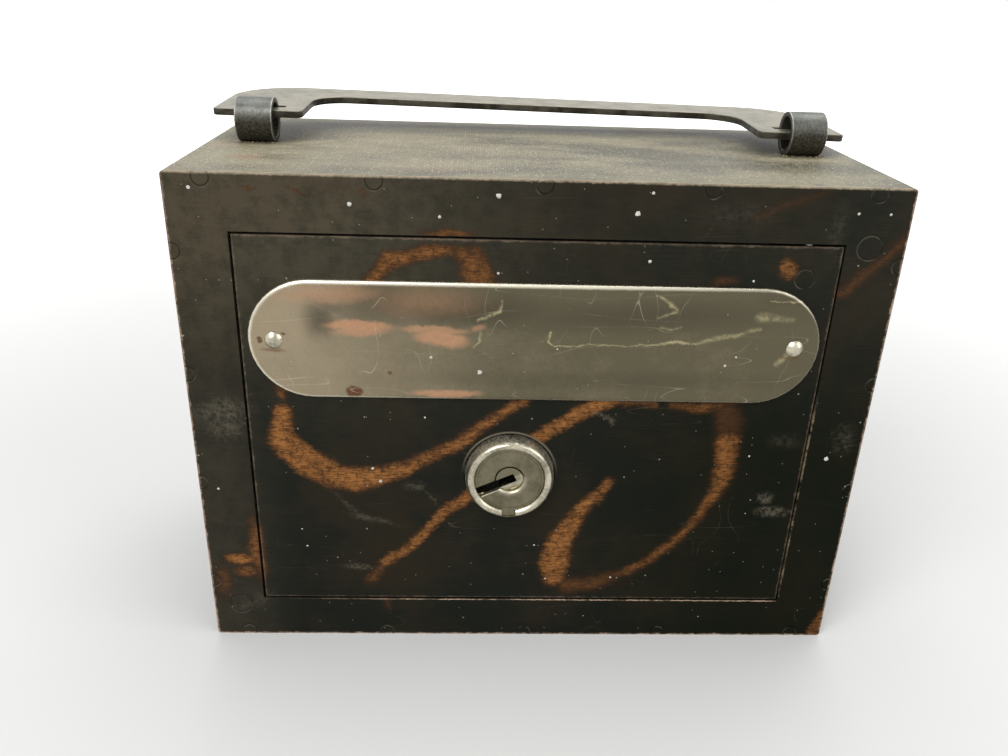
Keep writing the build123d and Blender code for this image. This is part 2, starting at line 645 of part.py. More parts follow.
def lock_case():
    """The tray: floor on the door, four walls, a mouth for the bolt, ears and cover bosses."""
    floor = block(TRAY_X0, TRAY_X1, DOOR_BACK_Y, FLOOR_BACK_Y, TRAY_Z0, TRAY_Z1)
    outer = block(TRAY_X0, TRAY_X1, FLOOR_BACK_Y, COVER_Y0, TRAY_Z0, TRAY_Z1)
    inner = block(
        TRAY_X0 + TRAY_WALL_T, TRAY_X1 - TRAY_WALL_T, FLOOR_BACK_Y, COVER_Y0,
        TRAY_Z0 + TRAY_WALL_T, TRAY_Z1 - TRAY_WALL_T,
    )
    mouth = block(
        TRAY_X0, TRAY_X0 + TRAY_WALL_T, FLOOR_BACK_Y, BOLT_Y1 + BOLT_FLOOR_GAP,
        BOLT_Z - BOLT_H / 2 - BOLT_SIDE_GAP, BOLT_Z + BOLT_H / 2 + BOLT_SIDE_GAP,
    )
    tray = floor + (outer - inner - mouth)
    for x, z in tray_screw_places():
        tray = tray + block(
            x - TRAY_EAR / 2, x + TRAY_EAR / 2, DOOR_BACK_Y, FLOOR_BACK_Y,
            z - TRAY_EAR_H / 2, z + TRAY_EAR_H / 2,
        )
    for x, z in cover_screw_places():
        tray = tray + rod_y(x, z, COVER_BOSS_R, FLOOR_BACK_Y, COVER_Y0)
        tray = tray - rod_y(x, z, SCREW_R, COVER_Y0 - 2 * SCREW_BITE, COVER_Y0)
    for x, z in tray_screw_places():
        tray = tray - rod_y(x, z, SCREW_R, DOOR_BACK_Y, FLOOR_BACK_Y)
    tray = tray - rod_y(KEY_X, KEY_Z, BARREL_R + BARREL_CLEAR, DOOR_BACK_Y, FLOOR_BACK_Y)
    tray = tray - key_slot(0, NOSE_SEAT_R, DOOR_BACK_Y, FLOOR_BACK_Y, KEY_SLOT_W)
    return tray - rod_y(POST_X, BOLT_Z, POST_R, DOOR_BACK_Y, FLOOR_BACK_Y)


def cover_screw_places():
    """Centres of the cover screws, in opposite lower corners of the case, as (x, z)."""
    inset = TRAY_WALL_T + COVER_BOSS_R - COVER_BOSS_IN_WALL
    return [(TRAY_X0 + inset, TRAY_Z0 + inset), (TRAY_X1 - inset, TRAY_Z0 + inset)]


def lock_cover():
    """The lid of the lock case."""
    cover = block(TRAY_X0, TRAY_X1, COVER_Y0, COVER_Y1, TRAY_Z0, TRAY_Z1)
    cover = fillet(cover.edges().filter_by(Axis.Y), TRAY_WALL_T)
    cover = cover - rod_y(KEY_X, KEY_Z, JOURNAL_R + BARREL_CLEAR, COVER_Y0, COVER_Y1)
    cover = cover - rod_y(POST_X, BOLT_Z, POST_R, COVER_Y0, COVER_Y1)
    return cover - [rod_y(x, z, SCREW_R, COVER_Y0, COVER_Y1) for x, z in cover_screw_places()]


def screws(places, seat_y, tip_y):
    """Slotted cheese-head screws, heads behind seat_y and points forward at tip_y."""
    made = []
    for x, z in places:
        head = rod_y(x, z, SCREW_HEAD_R, seat_y, seat_y + SCREW_HEAD_T)
        cut = block(
            x - SCREW_HEAD_R, x + SCREW_HEAD_R, seat_y + SCREW_HEAD_T / 2, seat_y + SCREW_HEAD_T,
            z - SCREW_HEAD_R / 8, z + SCREW_HEAD_R / 8,
        )
        made.append(head - cut + rod_y(x, z, SCREW_R, tip_y, seat_y))
    return group(made)


def lever_post():
    """The post that the levers turn on and the bolt's tail rides on."""
    return rod_y(POST_X, BOLT_Z, POST_R, DOOR_BACK_Y, COVER_Y1)


def bolt():
    """The dead bolt, drawn back: a bar with a talon, a slotted tail and the stump's hole."""
    slot_r = POST_R + BOLT_SLOT_CLEAR
    tail_x = POST_X + BOLT_THROW + slot_r + BOLT_TAIL
    bar = block(BOLT_TIP_X, tail_x, BOLT_Y0, BOLT_Y1, BOLT_Z - BOLT_H / 2, BOLT_Z + BOLT_H / 2)
    tip = bar.edges().filter_by(Axis.Z).group_by(Axis.X)[0]
    bar = chamfer(tip, BOLT_TIP_CHAMFER)
    slot = rod_y(POST_X, BOLT_Z, slot_r, BOLT_Y0, BOLT_Y1)
    slot = slot + rod_y(POST_X + BOLT_THROW, BOLT_Z, slot_r, BOLT_Y0, BOLT_Y1)
    slot = slot + block(POST_X, POST_X + BOLT_THROW, BOLT_Y0, BOLT_Y1, BOLT_Z - slot_r, BOLT_Z + slot_r)
    talon_x = KEY_X + TALON_FROM_KEY
    talon = block(
        talon_x - TALON_W / 2, talon_x + TALON_W / 2, BOLT_Y0, BOLT_Y1,
        BOLT_Z - BOLT_H / 2, BOLT_Z - BOLT_H / 2 + TALON_H,
    )
    return bar - slot - talon - rod_y(STUMP_X, BOLT_Z, STUMP_R, BOLT_Y0, BOLT_Y1)


def bolt_stump():
    """The stump, riveted in the bolt, that the levers' gates let through."""
    return rod_y(STUMP_X, BOLT_Z, STUMP_R, BOLT_Y0, LEVERS_END_Y - LEVER_GAP)


def stump_in_lever(lift_deg, share):
    """The stump's centre in a lever's own frame about the post, at a share of the throw."""
    x = -STUMP_FROM_POST - share * BOLT_THROW
    angle = math.radians(lift_deg * share)
    return (x * math.cos(angle), x * math.sin(angle))


def lever_outline(lift_deg):
    """A lever's flat outline and window about the post, X to the right and Y up."""
    shares = spread(0, 1, GATE_STEP_COUNT + 1)
    centres = [stump_in_lever(lift_deg, share) for share in shares]
    gate_r = STUMP_R + GATE_CLEAR
    left = centres[-1][0] - gate_r - GATE_LAND
    low = centres[-1][1] - gate_r - GATE_LAND
    belly = BELLY_FROM_KEY - BOLT_ABOVE_KEY
    with BuildSketch() as blank:
        with BuildLine():
            Polyline(
                (left, low),
                (-POST_FROM_KEY, low),
                (-POST_FROM_KEY, belly),
                (-POST_FROM_KEY + BELLY_R, belly),
                (0, -LEVER_NECK_H),
                (0, LEVER_NECK_H),
                (-POST_FROM_KEY + BELLY_R, LEVER_TOP_H),
                (left, LEVER_TOP_H),
                close=True,
            )
        make_face()
    plate = blank.sketch + Circle(LEVER_HUB_R)
    below_belly = Pos(-POST_FROM_KEY, belly - BELLY_R) * Rectangle(2 * BELLY_R, 2 * BELLY_R)
    plate = plate - (below_belly & (Pos(-POST_FROM_KEY, -BOLT_ABOVE_KEY) * Circle(BELLY_R)))
    for x, y in centres:
        plate = plate - Pos(x, y) * Circle(gate_r)
    for first, second in zip(centres, centres[1:]):
        middle = Pos((first[0] + second[0]) / 2, (first[1] + second[1]) / 2)
        run = math.dist(first, second)
        turn = math.degrees(math.atan2(second[1] - first[1], second[0] - first[0]))
        plate = plate - middle * Rot(0, 0, turn) * Rectangle(run, 2 * gate_r)
    for x, y in (centres[0], centres[-1]):
        plate = plate - Pos(x, y + POCKET_H / 2) * Rectangle(2 * gate_r, POCKET_H + gate_r)
    return plate - Circle(POST_R + LEVER_CLEAR)


def lever(number):
    """One lever at rest, counted back from the bolt."""
    y0 = BOLT_Y1 + LEVER_GAP + number * LEVER_PITCH
    outline = Pos(POST_X, BOLT_Z) * lever_outline(LEVER_LIFTS_DEG[number])
    return upright(outline, y0, y0 + LEVER_T)


def lever_springs():
    """A comb of leaf springs, from a block under the top of the case to the levers' top edges."""
    block_x1 = TRAY_X1 - TRAY_WALL_T
    block_x0 = block_x1 - SPRING_BLOCK_W
    block_z1 = TRAY_Z1 - TRAY_WALL_T
    block_z0 = block_z1 - SPRING_BLOCK_H
    comb = block(block_x0, block_x1, BOLT_Y1 + LEVER_GAP, LEVERS_END_Y - LEVER_GAP, block_z0, block_z1)
    root = (block_x0 + SPRING_T, (block_z0 + block_z1) / 2)
    tip = (POST_X - SPRING_TIP_FROM_POST, BOLT_Z + LEVER_TOP_H + SPRING_GAP)
    middle = ((root[0] + tip[0]) / 2, (root[1] + tip[1]) / 2 - SPRING_BOW)
    with BuildSketch() as leaf:
        with BuildLine():
            ThreePointArc(root, middle, tip)
            Line(tip, (tip[0], tip[1] + SPRING_T))
            ThreePointArc(
                (tip[0], tip[1] + SPRING_T), (middle[0], middle[1] + SPRING_T), (root[0], root[1] + SPRING_T)
            )
            Line((root[0], root[1] + SPRING_T), root)
        make_face()
    for number in range(LEVER_COUNT):
        y0 = BOLT_Y1 + LEVER_GAP + number * LEVER_PITCH + (LEVER_T - SPRING_W) / 2
        comb = comb + upright(leaf.sketch, y0, y0 + SPRING_W)
    return comb


def bolt_guide():
    """A closed staple that keeps the bolt's far end against the door."""
    inner = BOLT_H / 2 + BOLT_SIDE_GAP
    outer = inner + GUIDE_T
    x0 = GUIDE_X - GUIDE_W / 2
    x1 = GUIDE_X + GUIDE_W / 2
    inner_back = BOLT_Y1 + BOLT_FLOOR_GAP
    body = block(x0, x1, DOOR_BACK_Y, inner_back + GUIDE_T, BOLT_Z - outer, BOLT_Z + outer)
    foot = outer + GUIDE_FOOT
    feet = block(x0, x1, DOOR_BACK_Y, FLOOR_BACK_Y, BOLT_Z - foot, BOLT_Z + foot)
    window = block(x0, x1, FLOOR_BACK_Y, inner_back, BOLT_Z - inner, BOLT_Z + inner)
    holes = [rod_y(x, z, SCREW_R, DOOR_BACK_Y, FLOOR_BACK_Y) for x, z in guide_screw_places()]
    return body + feet - window - holes


def build_all():
    """Every node of the strongbox, by name."""
    nodes = {
        "wall_wrap": wall_wrap(),
        "front_frame": front_frame(),
        "back_plate": back_plate(),
        "front_seam_pins": ground_flush(FRONT_PINS),
        "back_seam_pins": ground_flush(BACK_PINS),
        "corner_pillars": corner_pillars(),
        "stop_frame": stop_frame(),
        "coin_guard": coin_guard(),
        "coin_guard_rivets": coin_guard_rivets(),
        "handle_loop_left": handle_loop(LOOP_X[0]),
        "handle_loop_right": handle_loop(LOOP_X[1]),
        "handle_bail": handle_bail(),
        "pivot_pin_upper": pivot_pin(True),
        "pivot_pin_lower": pivot_pin(False),
        "door_panel": door_panel(),
        "door_rivets": door_rivets(),
        "nameplate": nameplate(),
        "nameplate_rivets": nameplate_rivets(),
        "lock_nose": lock_nose(),
        "face_disc": face_disc(),
        "key_barrel": key_barrel(),
        "lock_case": lock_case(),
        "lock_cover": lock_cover(),
        "case_screws": screws(tray_screw_places(), FLOOR_BACK_Y, DOOR_BACK_Y - SCREW_BITE),
        "cover_screws": screws(cover_screw_places(), COVER_Y1, COVER_Y0 - 2 * SCREW_BITE),
        "lever_post": lever_post(),
        "lever_springs": lever_springs(),
        "bolt": bolt(),
        "bolt_stump": bolt_stump(),
        "bolt_guide": bolt_guide(),
        "guide_screws": screws(guide_screw_places(), FLOOR_BACK_Y, DOOR_BACK_Y - SCREW_BITE),
    }
    for number in range(LEVER_COUNT):
        nodes[f"lever_{number + 1}"] = lever(number)
    return nodes


os.makedirs("parts", exist_ok=True)
for name, shape in build_all().items():
    export_step(shape, f"parts/{name}.step")
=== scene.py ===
"""Looks of a small steel strongbox with a flush door, a lever lock and a loose bail handle.

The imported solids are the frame. This script rounds and wears their edges, gives every piece its finish, adds
the paint specks and the grit that lie on them, and sets up the floor, the lamps and the camera. The object's
sizes and places are in millimetres, and the studio's in metres.
"""

from __future__ import annotations

import functools
import json
import logging
import math
import random
from dataclasses import dataclass, field
from typing import Callable, Iterable, Sequence, Union

import bmesh
import bpy
from mathutils import Matrix, Vector, noise

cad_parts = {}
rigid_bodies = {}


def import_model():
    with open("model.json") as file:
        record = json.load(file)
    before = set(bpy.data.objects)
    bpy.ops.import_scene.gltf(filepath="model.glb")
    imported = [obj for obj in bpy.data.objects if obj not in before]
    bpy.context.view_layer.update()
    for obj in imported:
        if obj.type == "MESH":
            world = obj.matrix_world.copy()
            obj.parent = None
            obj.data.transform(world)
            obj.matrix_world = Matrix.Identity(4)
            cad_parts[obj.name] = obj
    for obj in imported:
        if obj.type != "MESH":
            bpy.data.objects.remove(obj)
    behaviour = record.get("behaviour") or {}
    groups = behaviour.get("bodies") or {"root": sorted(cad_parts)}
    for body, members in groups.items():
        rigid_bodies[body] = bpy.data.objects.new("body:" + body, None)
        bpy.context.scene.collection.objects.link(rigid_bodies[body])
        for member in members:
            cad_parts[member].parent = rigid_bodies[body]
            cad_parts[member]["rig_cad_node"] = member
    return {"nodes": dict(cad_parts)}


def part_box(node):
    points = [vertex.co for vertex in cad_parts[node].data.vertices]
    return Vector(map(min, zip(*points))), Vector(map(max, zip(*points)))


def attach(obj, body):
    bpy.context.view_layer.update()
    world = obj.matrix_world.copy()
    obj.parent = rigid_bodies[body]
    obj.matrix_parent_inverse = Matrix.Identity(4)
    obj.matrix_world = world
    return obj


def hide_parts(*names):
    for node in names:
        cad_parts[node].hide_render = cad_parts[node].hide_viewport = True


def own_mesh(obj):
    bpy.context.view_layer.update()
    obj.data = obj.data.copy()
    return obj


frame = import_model()

LOG = logging.getLogger("strongbox")
MM = 0.001

Colour = tuple[float, float, float]
Triple = tuple[float, float, float]
Place = tuple[float, float]
Speck = tuple[float, float, float]
Value = Union["Term", float, Sequence[float]]
Test = Callable[[Vector, Vector], bool]

WHITE: Colour = (1.0, 1.0, 1.0)
NARROW_GAP = 0.3
WIDE_GAP = 0.45
BLOB_SWELL = 0.5
BLOB_SCALE = 1.6
NOISE_SPAN = 50
SPECK_SHARE = 0.8
SPECK_STEPS = 2


def millimetres(node: str) -> tuple[Vector, Vector]:
    """Gives a CAD node's lowest and highest corners in millimetres.

    Args:
        node: Name of the CAD node.

    Returns:
        The two corners.
    """
    low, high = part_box(node)
    return low / MM, high / MM


class Term:
    """A value in a node tree that takes sums as a plain number does. Each sum adds a Math node."""

    def __init__(self, graph: Graph, socket: bpy.types.NodeSocket) -> None:
        """Keeps the graph and the socket that gives the value."""
        self.graph = graph
        self.socket = socket

    def __add__(self, other: Value) -> Term:
        """Adds another value."""
        return self.graph.math("ADD", self, other)

    def __sub__(self, other: Value) -> Term:
        """Takes another value away."""
        return self.graph.math("SUBTRACT", self, other)

    def __rsub__(self, other: Value) -> Term:
        """Takes this value away from another."""
        return self.graph.math("SUBTRACT", other, self)

    def __mul__(self, other: Value) -> Term:
        """Multiplies by another value."""
        return self.graph.math("MULTIPLY", self, other)

    def __truediv__(self, other: Value) -> Term:
        """Divides by another value."""
        return self.graph.math("DIVIDE", self, other)

    def __abs__(self) -> Term:
        """Drops the sign."""
        return self.graph.math("ABSOLUTE", self)

    def scaled(self, factor: Value, offset: Value) -> Term:
        """Multiplies by one value and adds another, in one node."""
        return self.graph.math("MULTIPLY_ADD", self, factor, offset)

    __radd__ = __add__
    __rmul__ = __mul__


class Graph:
    """Adds nodes to one node tree and joins them up."""

    def __init__(self, tree: bpy.types.NodeTree) -> None:
        """Keeps the tree."""
        self.tree = tree

    def add(self, kind: str, **settings: object) -> bpy.types.Node:
        """Adds one node.

        Args:
            kind: Blender's name for the kind of node.
            settings: Properties to set on it.

        Returns:
            The new node.
        """
        node = self.tree.nodes.new(kind)
        for name, value in settings.items():
            setattr(node, name, value)
        return node

    def feed(self, socket: bpy.types.NodeSocket, value: Value) -> None:
        """Links a socket to a term, or sets its plain value.

        Args:
            socket: The input to feed.
            value: A term, a number, a vector or a colour.
        """
        if isinstance(value, Term):
            self.tree.links.new(value.socket, socket)
        elif socket.type == "RGBA" and len(value) == 3:
            socket.default_value = (*value, 1.0)
        else:
            socket.default_value = value

    def node(self, kind: str, inputs: dict, output: int | str = 0, **settings: object) -> Term:
        """Adds a node, feeds it and gives what comes out.

        Args:
            kind: Blender's name for the kind of node.
            inputs: A value for each input, by its name or its number.
            output: Name or number of the output.
            settings: Properties to set on the node.

        Returns:
            The output.
        """
        node = self.add(kind, **settings)
        for key, value in inputs.items():
            self.feed(node.inputs[key], value)
        return Term(self, node.outputs[output])

    def math(self, operation: str, *values: Value) -> Term:
        """Adds a Math node."""
        return self.node("ShaderNodeMath", dict(enumerate(values)), operation=operation)

    def vector(self, operation: str, *values: Value) -> Term:
        """Adds a Vector Math node that gives a vector."""
        return self.node("ShaderNodeVectorMath", dict(enumerate(values)), operation=operation)

    def length(self, value: Value) -> Term:
        """Gives the length of a vector."""
        return self.node("ShaderNodeVectorMath", {0: value}, "Value", operation="LENGTH")

    def dot(self, first: Sequence[Term], second: Sequence[Term]) -> Term:
        """Gives the dot product of two pairs of numbers."""
        return first[0].scaled(second[0], first[1] * second[1])

    def reach(self, across: Term, up: Term) -> Term:
        """Gives the length of a pair of numbers."""
        return self.math("SQRT", self.dot((across, up), (across, up)))

    def split(self, kind: str, value: Value) -> list[Term]:
        """Splits a value with a node of one kind.

        Args:
            kind: Blender's name for the kind of node.
            value: The vector or colour.

        Returns:
            Its three numbers.
        """
        node = self.add(kind)
        self.feed(node.inputs[0], value)
        return [Term(self, socket) for socket in node.outputs]

    def parts(self, value: Value) -> list[Term]:
        """Splits a vector into X, Y and Z."""
        return self.split("ShaderNodeSeparateXYZ", value)

    def channels(self, value: Value) -> list[Term]:
        """Splits a colour into red, green and blue."""
        return self.split("ShaderNodeSeparateColor", value)

    def join(self, *values: Value) -> Term:
        """Joins X, Y and Z into a vector."""
        return self.node("ShaderNodeCombineXYZ", dict(enumerate(values)))

    def noise(self, place: Value, scale: float, detail: float, rough: float, output: int | str = 0) -> Term:
        """Adds a Noise Texture.

        Args:
            place: Where to read it.
            scale: Its scale.
            detail: How many octaves it has.
            rough: How strong the finer octaves are.
            output: Which output to give.

        Returns:
            Its value, about 0.5 on average.
        """
        inputs = {"Vector": place, "Scale": scale, "Detail": detail, "Roughness": rough}
        return self.node("ShaderNodeTexNoise", inputs, output)

    def warp(self, place: Value, scale: float, reach: float) -> Term:
        """Shifts a place unevenly, so that what is drawn from it gets a wavering edge.

        Args:
            place: The place.
            scale: Scale of the noise that shifts it.
            reach: How far it shifts, at most about half of this.

        Returns:
            The shifted place.
        """
        shift = self.join(*self.channels(self.noise(place, scale, 2.0, 0.6, "Color")))
        centred = self.vector("SUBTRACT", shift, (0.5, 0.5, 0.5))
        return self.vector("ADD", place, self.vector("MULTIPLY", centred, (reach, reach, reach)))

    def dots(self, place: Value, scale: float, size: float, flat: bool = False, bare: float = 0.72) -> Term:
        """Gives sparse round dots.

        Args:
            place: Where to read them.
            scale: How many cells a unit holds.
            size: Radius of a dot, as a share of its cell.
            flat: Whether the dots lie in X and Y alone.
            bare: Share of the cells that have no dot.

        Returns:
            1 in a dot and 0 elsewhere.
        """
        cells = self.add("ShaderNodeTexVoronoi", feature="F1", voronoi_dimensions="2D" if flat else "3D")
        self.feed(cells.inputs["Vector"], place)
        self.feed(cells.inputs["Scale"], scale)
        chance = self.channels(Term(self, cells.outputs["Color"]))[0]
        rare = self.math("GREATER_THAN", chance, bare)
        return self.between(Term(self, cells.outputs["Distance"]), size, size * 0.6) * rare

    def between(self, value: Value, low: Value, high: Value) -> Term:
        """Steps smoothly from 0 at low to 1 at high, which may be below low.

        Args:
            value: What is tested.
            low: Where the step starts.
            high: Where it ends.

        Returns:
            A value from 0 to 1.
        """
        inputs = {"Value": value, "From Min": low, "From Max": high}
        return self.node("ShaderNodeMapRange", inputs, interpolation_type="SMOOTHSTEP", clamp=True)

    def mix(self, share: Value, first: Value, second: Value) -> Term:
        """Mixes two colours, with a share of the second."""
        inputs = {0: share, 6: first, 7: second}
        return self.node("ShaderNodeMix", inputs, 2, data_type="RGBA", clamp_factor=True)

    def blend(self, share: Value, first: Value, second: Value) -> Term:
        """Mixes two numbers, with a share of the second."""
        inputs = {0: share, 2: first, 3: second}
        return self.node("ShaderNodeMix", inputs, data_type="FLOAT", clamp_factor=True)

    def use(self, effect: bpy.types.NodeTree, **inputs: Value) -> Term:
        """Places a shared effect with its own values."""
        return self.node("ShaderNodeGroup", inputs, node_tree=effect)

    def most(self, values: Iterable[Term]) -> Term:
        """Gives the largest of several values, joined as they come, so that few are held at a time."""
        return functools.reduce(functools.partial(self.math, "MAXIMUM"), values)

    def bump(self, height: Term, depth: float, strength: float) -> Term:
        """Adds a Bump node, with a depth in millimetres."""
        return self.node("ShaderNodeBump", {"Strength": strength, "Distance": depth * MM, "Height": height})


class Effects:
    """Shader node groups that several finishes share. Places are in millimetres."""

    def __init__(self) -> None:
        """Builds every group once, with its inputs and their usual values."""
        here = dict(x=0.0, z=0.0)
        middle = dict(centre_x=0.0, centre_z=0.0)
        ends = dict(from_x=0.0, from_z=0.0, to_x=0.0, to_z=0.0, width_from=0.0, width_to=0.0)
        shape = dict(size_x=0.0, size_z=0.0, angle=0.0, soft=0.0, strength=0.0)
        nowhere = (0.0, 0.0, 0.0)
        self.grain = self._group("grain", self._grain, place=nowhere, along=0.3, across=6.0)
        self.box_edge = self._group("box_edge", self._box_edge, place=nowhere, centre=nowhere, half=WHITE)
        self.stadium_edge = self._group(
            "stadium_edge", self._stadium_edge, **here, **middle, straight=0.0, radius=0.0
        )
        self.stroke = self._group("stroke", self._stroke, **here, **ends)
        self.patch = self._group("patch", self._patch, **here, **middle, **shape)
        self.ring = self._group("ring", self._ring, **here, radius=0.0, width=0.0)
        self.hairlines = self._group(
            "hairlines", self._hairlines, place=nowhere, stretch=WHITE, width=0.004, share=0.6
        )

    @staticmethod
    def _group(name: str, build: Callable[..., Term], **inputs: Value) -> bpy.types.NodeTree:
        """Makes a node group with one output.

        Args:
            name: Name of the group.
            build: Adds the group's nodes and gives what it puts out.
            inputs: The inputs and their usual values.

        Returns:
            The group.
        """
        tree = bpy.data.node_groups.new(name, "ShaderNodeTree")
        for label, value in inputs.items():
            kind = "NodeSocketFloat" if isinstance(value, float) else "NodeSocketVector"
            socket = tree.interface.new_socket(label, in_out="INPUT", socket_type=kind)
            socket.default_value = value
        tree.interface.new_socket("result", in_out="OUTPUT", socket_type="NodeSocketFloat")
        graph = Graph(tree)
        source = graph.add("NodeGroupInput")
        result = graph.add("NodeGroupOutput")
        terms = {label: Term(graph, source.outputs[label]) for label in inputs}
        graph.feed(result.inputs[0], build(graph, **terms))
        return tree

    @staticmethod
    def _grain(graph: Graph, place: Term, along: Term, across: Term) -> Term:
        """Gives fine lines along X, as a wiped or brushed surface has.

        Args:
            graph: Where to build them.
            place: The place.
            along: Scale along X and Y.
            across: Scale along Z.

        Returns:
            A value, about 0.5 on average.
        """
        x, y, z = graph.parts(place)
        return graph.noise(graph.join(x * along, y * along, z * across), 1.0, 4.0, 0.65)

    @staticmethod
    def _box_edge(graph: Graph, place: Term, centre: Term, half: Term) -> Term:
        """Gives the distance from a point on a box to its nearest edge.

        Args:
            graph: Where to build it.
            place: The point.
            centre: The box's middle.
            half: Half its sizes.

        Returns:
            The distance.
        """
        from_centre = graph.vector("ABSOLUTE", graph.vector("SUBTRACT", place, centre))
        x, y, z = graph.parts(graph.vector("SUBTRACT", half, from_centre))
        low = graph.math("MINIMUM", x, y)
        high = graph.math("MAXIMUM", x, y)
        return graph.math("MAXIMUM", low, graph.math("MINIMUM", high, z))

    @staticmethod
    def _stadium_edge(
        graph: Graph, x: Term, z: Term, centre_x: Term, centre_z: Term, straight: Term, radius: Term
    ) -> Term:
        """Gives the distance inwards from the outline of an oblong with round ends.

        Args:
            graph: Where to build it.
            x: The place across.
            z: The place up.
            centre_x: The oblong's middle across.
            centre_z: Its middle up.
            straight: Half the length of its straight sides.
            radius: Radius of its ends.

        Returns:
            The distance.
        """
        past = graph.math("MAXIMUM", abs(x - centre_x) - straight, 0.0)
        return radius - graph.reach(past, z - centre_z)

    @staticmethod
    def _stroke(
        graph: Graph,
        x: Term,
        z: Term,
        from_x: Term,
        from_z: Term,
        to_x: Term,
        to_z: Term,
        width_from: Term,
        width_to: Term,
    ) -> Term:
        """Gives how deep a place lies in a tapering stroke.

        Args:
            graph: Where to build it.
            x: The place across.
            z: The place up.
            from_x: The stroke's start across.
            from_z: Its start up.
            to_x: Its end across.
            to_z: Its end up.
            width_from: Its width at the start.
            width_to: Its width at the end.

        Returns:
            The depth, below 0 outside the stroke.
        """
        run = (to_x - from_x, to_z - from_z)
        spot = (x - from_x, z - from_z)
        share = graph.dot(spot, run) / graph.dot(run, run)
        share.socket.node.use_clamp = True
        off = [here - share * length for here, length in zip(spot, run)]
        return graph.blend(share, width_from, width_to).scaled(0.5, graph.reach(*off) * -1.0)

    @staticmethod
    def _patch(
        graph: Graph,
        x: Term,
        z: Term,
        centre_x: Term,
        centre_z: Term,
        size_x: Term,
        size_z: Term,
        angle: Term,
        soft: Term,
        strength: Term,
    ) -> Term:
        """Gives a soft oval patch, turned by an angle.

        Args:
            graph: Where to build it.
            x: The place across.
            z: The place up.
            centre_x: The patch's middle across.
            centre_z: Its middle up.
            size_x: Half its length.
            size_z: Half its width.
            angle: The angle.
            soft: How soft its edge is.
            strength: Its strength in the middle.

        Returns:
            The patch's strength at the place.
        """
        spot = (x - centre_x, z - centre_z)
        cosine = graph.math("COSINE", angle)
        sine = graph.math("SINE", angle)
        across = graph.dot(spot, (cosine, sine)) / size_x
        up = graph.dot(spot, (sine * -1.0, cosine)) / size_z
        return graph.between(graph.reach(across, up), 1.0 + soft, 1.0 - soft) * strength

    @staticmethod
    def _ring(graph: Graph, x: Term, z: Term, radius: Term, width: Term) -> Term:
        """Gives a thin circle."""
        return graph.between(abs(graph.reach(x, z) - radius), width, 0.0)

    @staticmethod
    def _hairlines(graph: Graph, place: Term, stretch: Term, width: Term, share: Term) -> Term:
        """Gives sparse fine scratches, which follow the contours of a stretched noise.

        Args:
            graph: Where to build them.
            place: The place.
            stretch: How the noise is stretched.
            width: Width of a scratch, as a step of the noise.
            share: From which level of a second noise they start to show.

        Returns:
            1 in a scratch and 0 elsewhere.
        """
        level = graph.noise(graph.vector("MULTIPLY", place, stretch), 1.0, 1.0, 0.4)
        line = graph.between(abs(level - 0.5), width, 0.0)
        return line * graph.between(graph.noise(place, 0.09, 2.0, 0.6), share, 0.75)


@dataclass(frozen=True)
class Stroke:
    """A hand-wiped or worn stroke on the front, in millimetres."""

    points: tuple[Place, ...]
    widths: tuple[float, ...]
    strength: float = 1.0
    fade: float = 1.15

    def pieces(self) -> Iterable[dict[str, float]]:
        """Splits the stroke into tapering pieces, from one point to the next.

        Returns:
            The inputs of each piece.
        """
        ends = zip(self.points, self.points[1:], self.widths, self.widths[1:])
        names = ("from_x", "from_z", "to_x", "to_z", "width_from", "width_to")
        for start, stop, *widths in ends:
            yield dict(zip(names, (*start, *stop, *widths)))


@dataclass(frozen=True)
class Patch:
    """A soft patch on a face, in millimetres across X and Z, turned by an angle in degrees."""

    centre: Place
    size: Place
    angle: float = 0.0
    strength: float = 1.0
    soft: float = 0.4


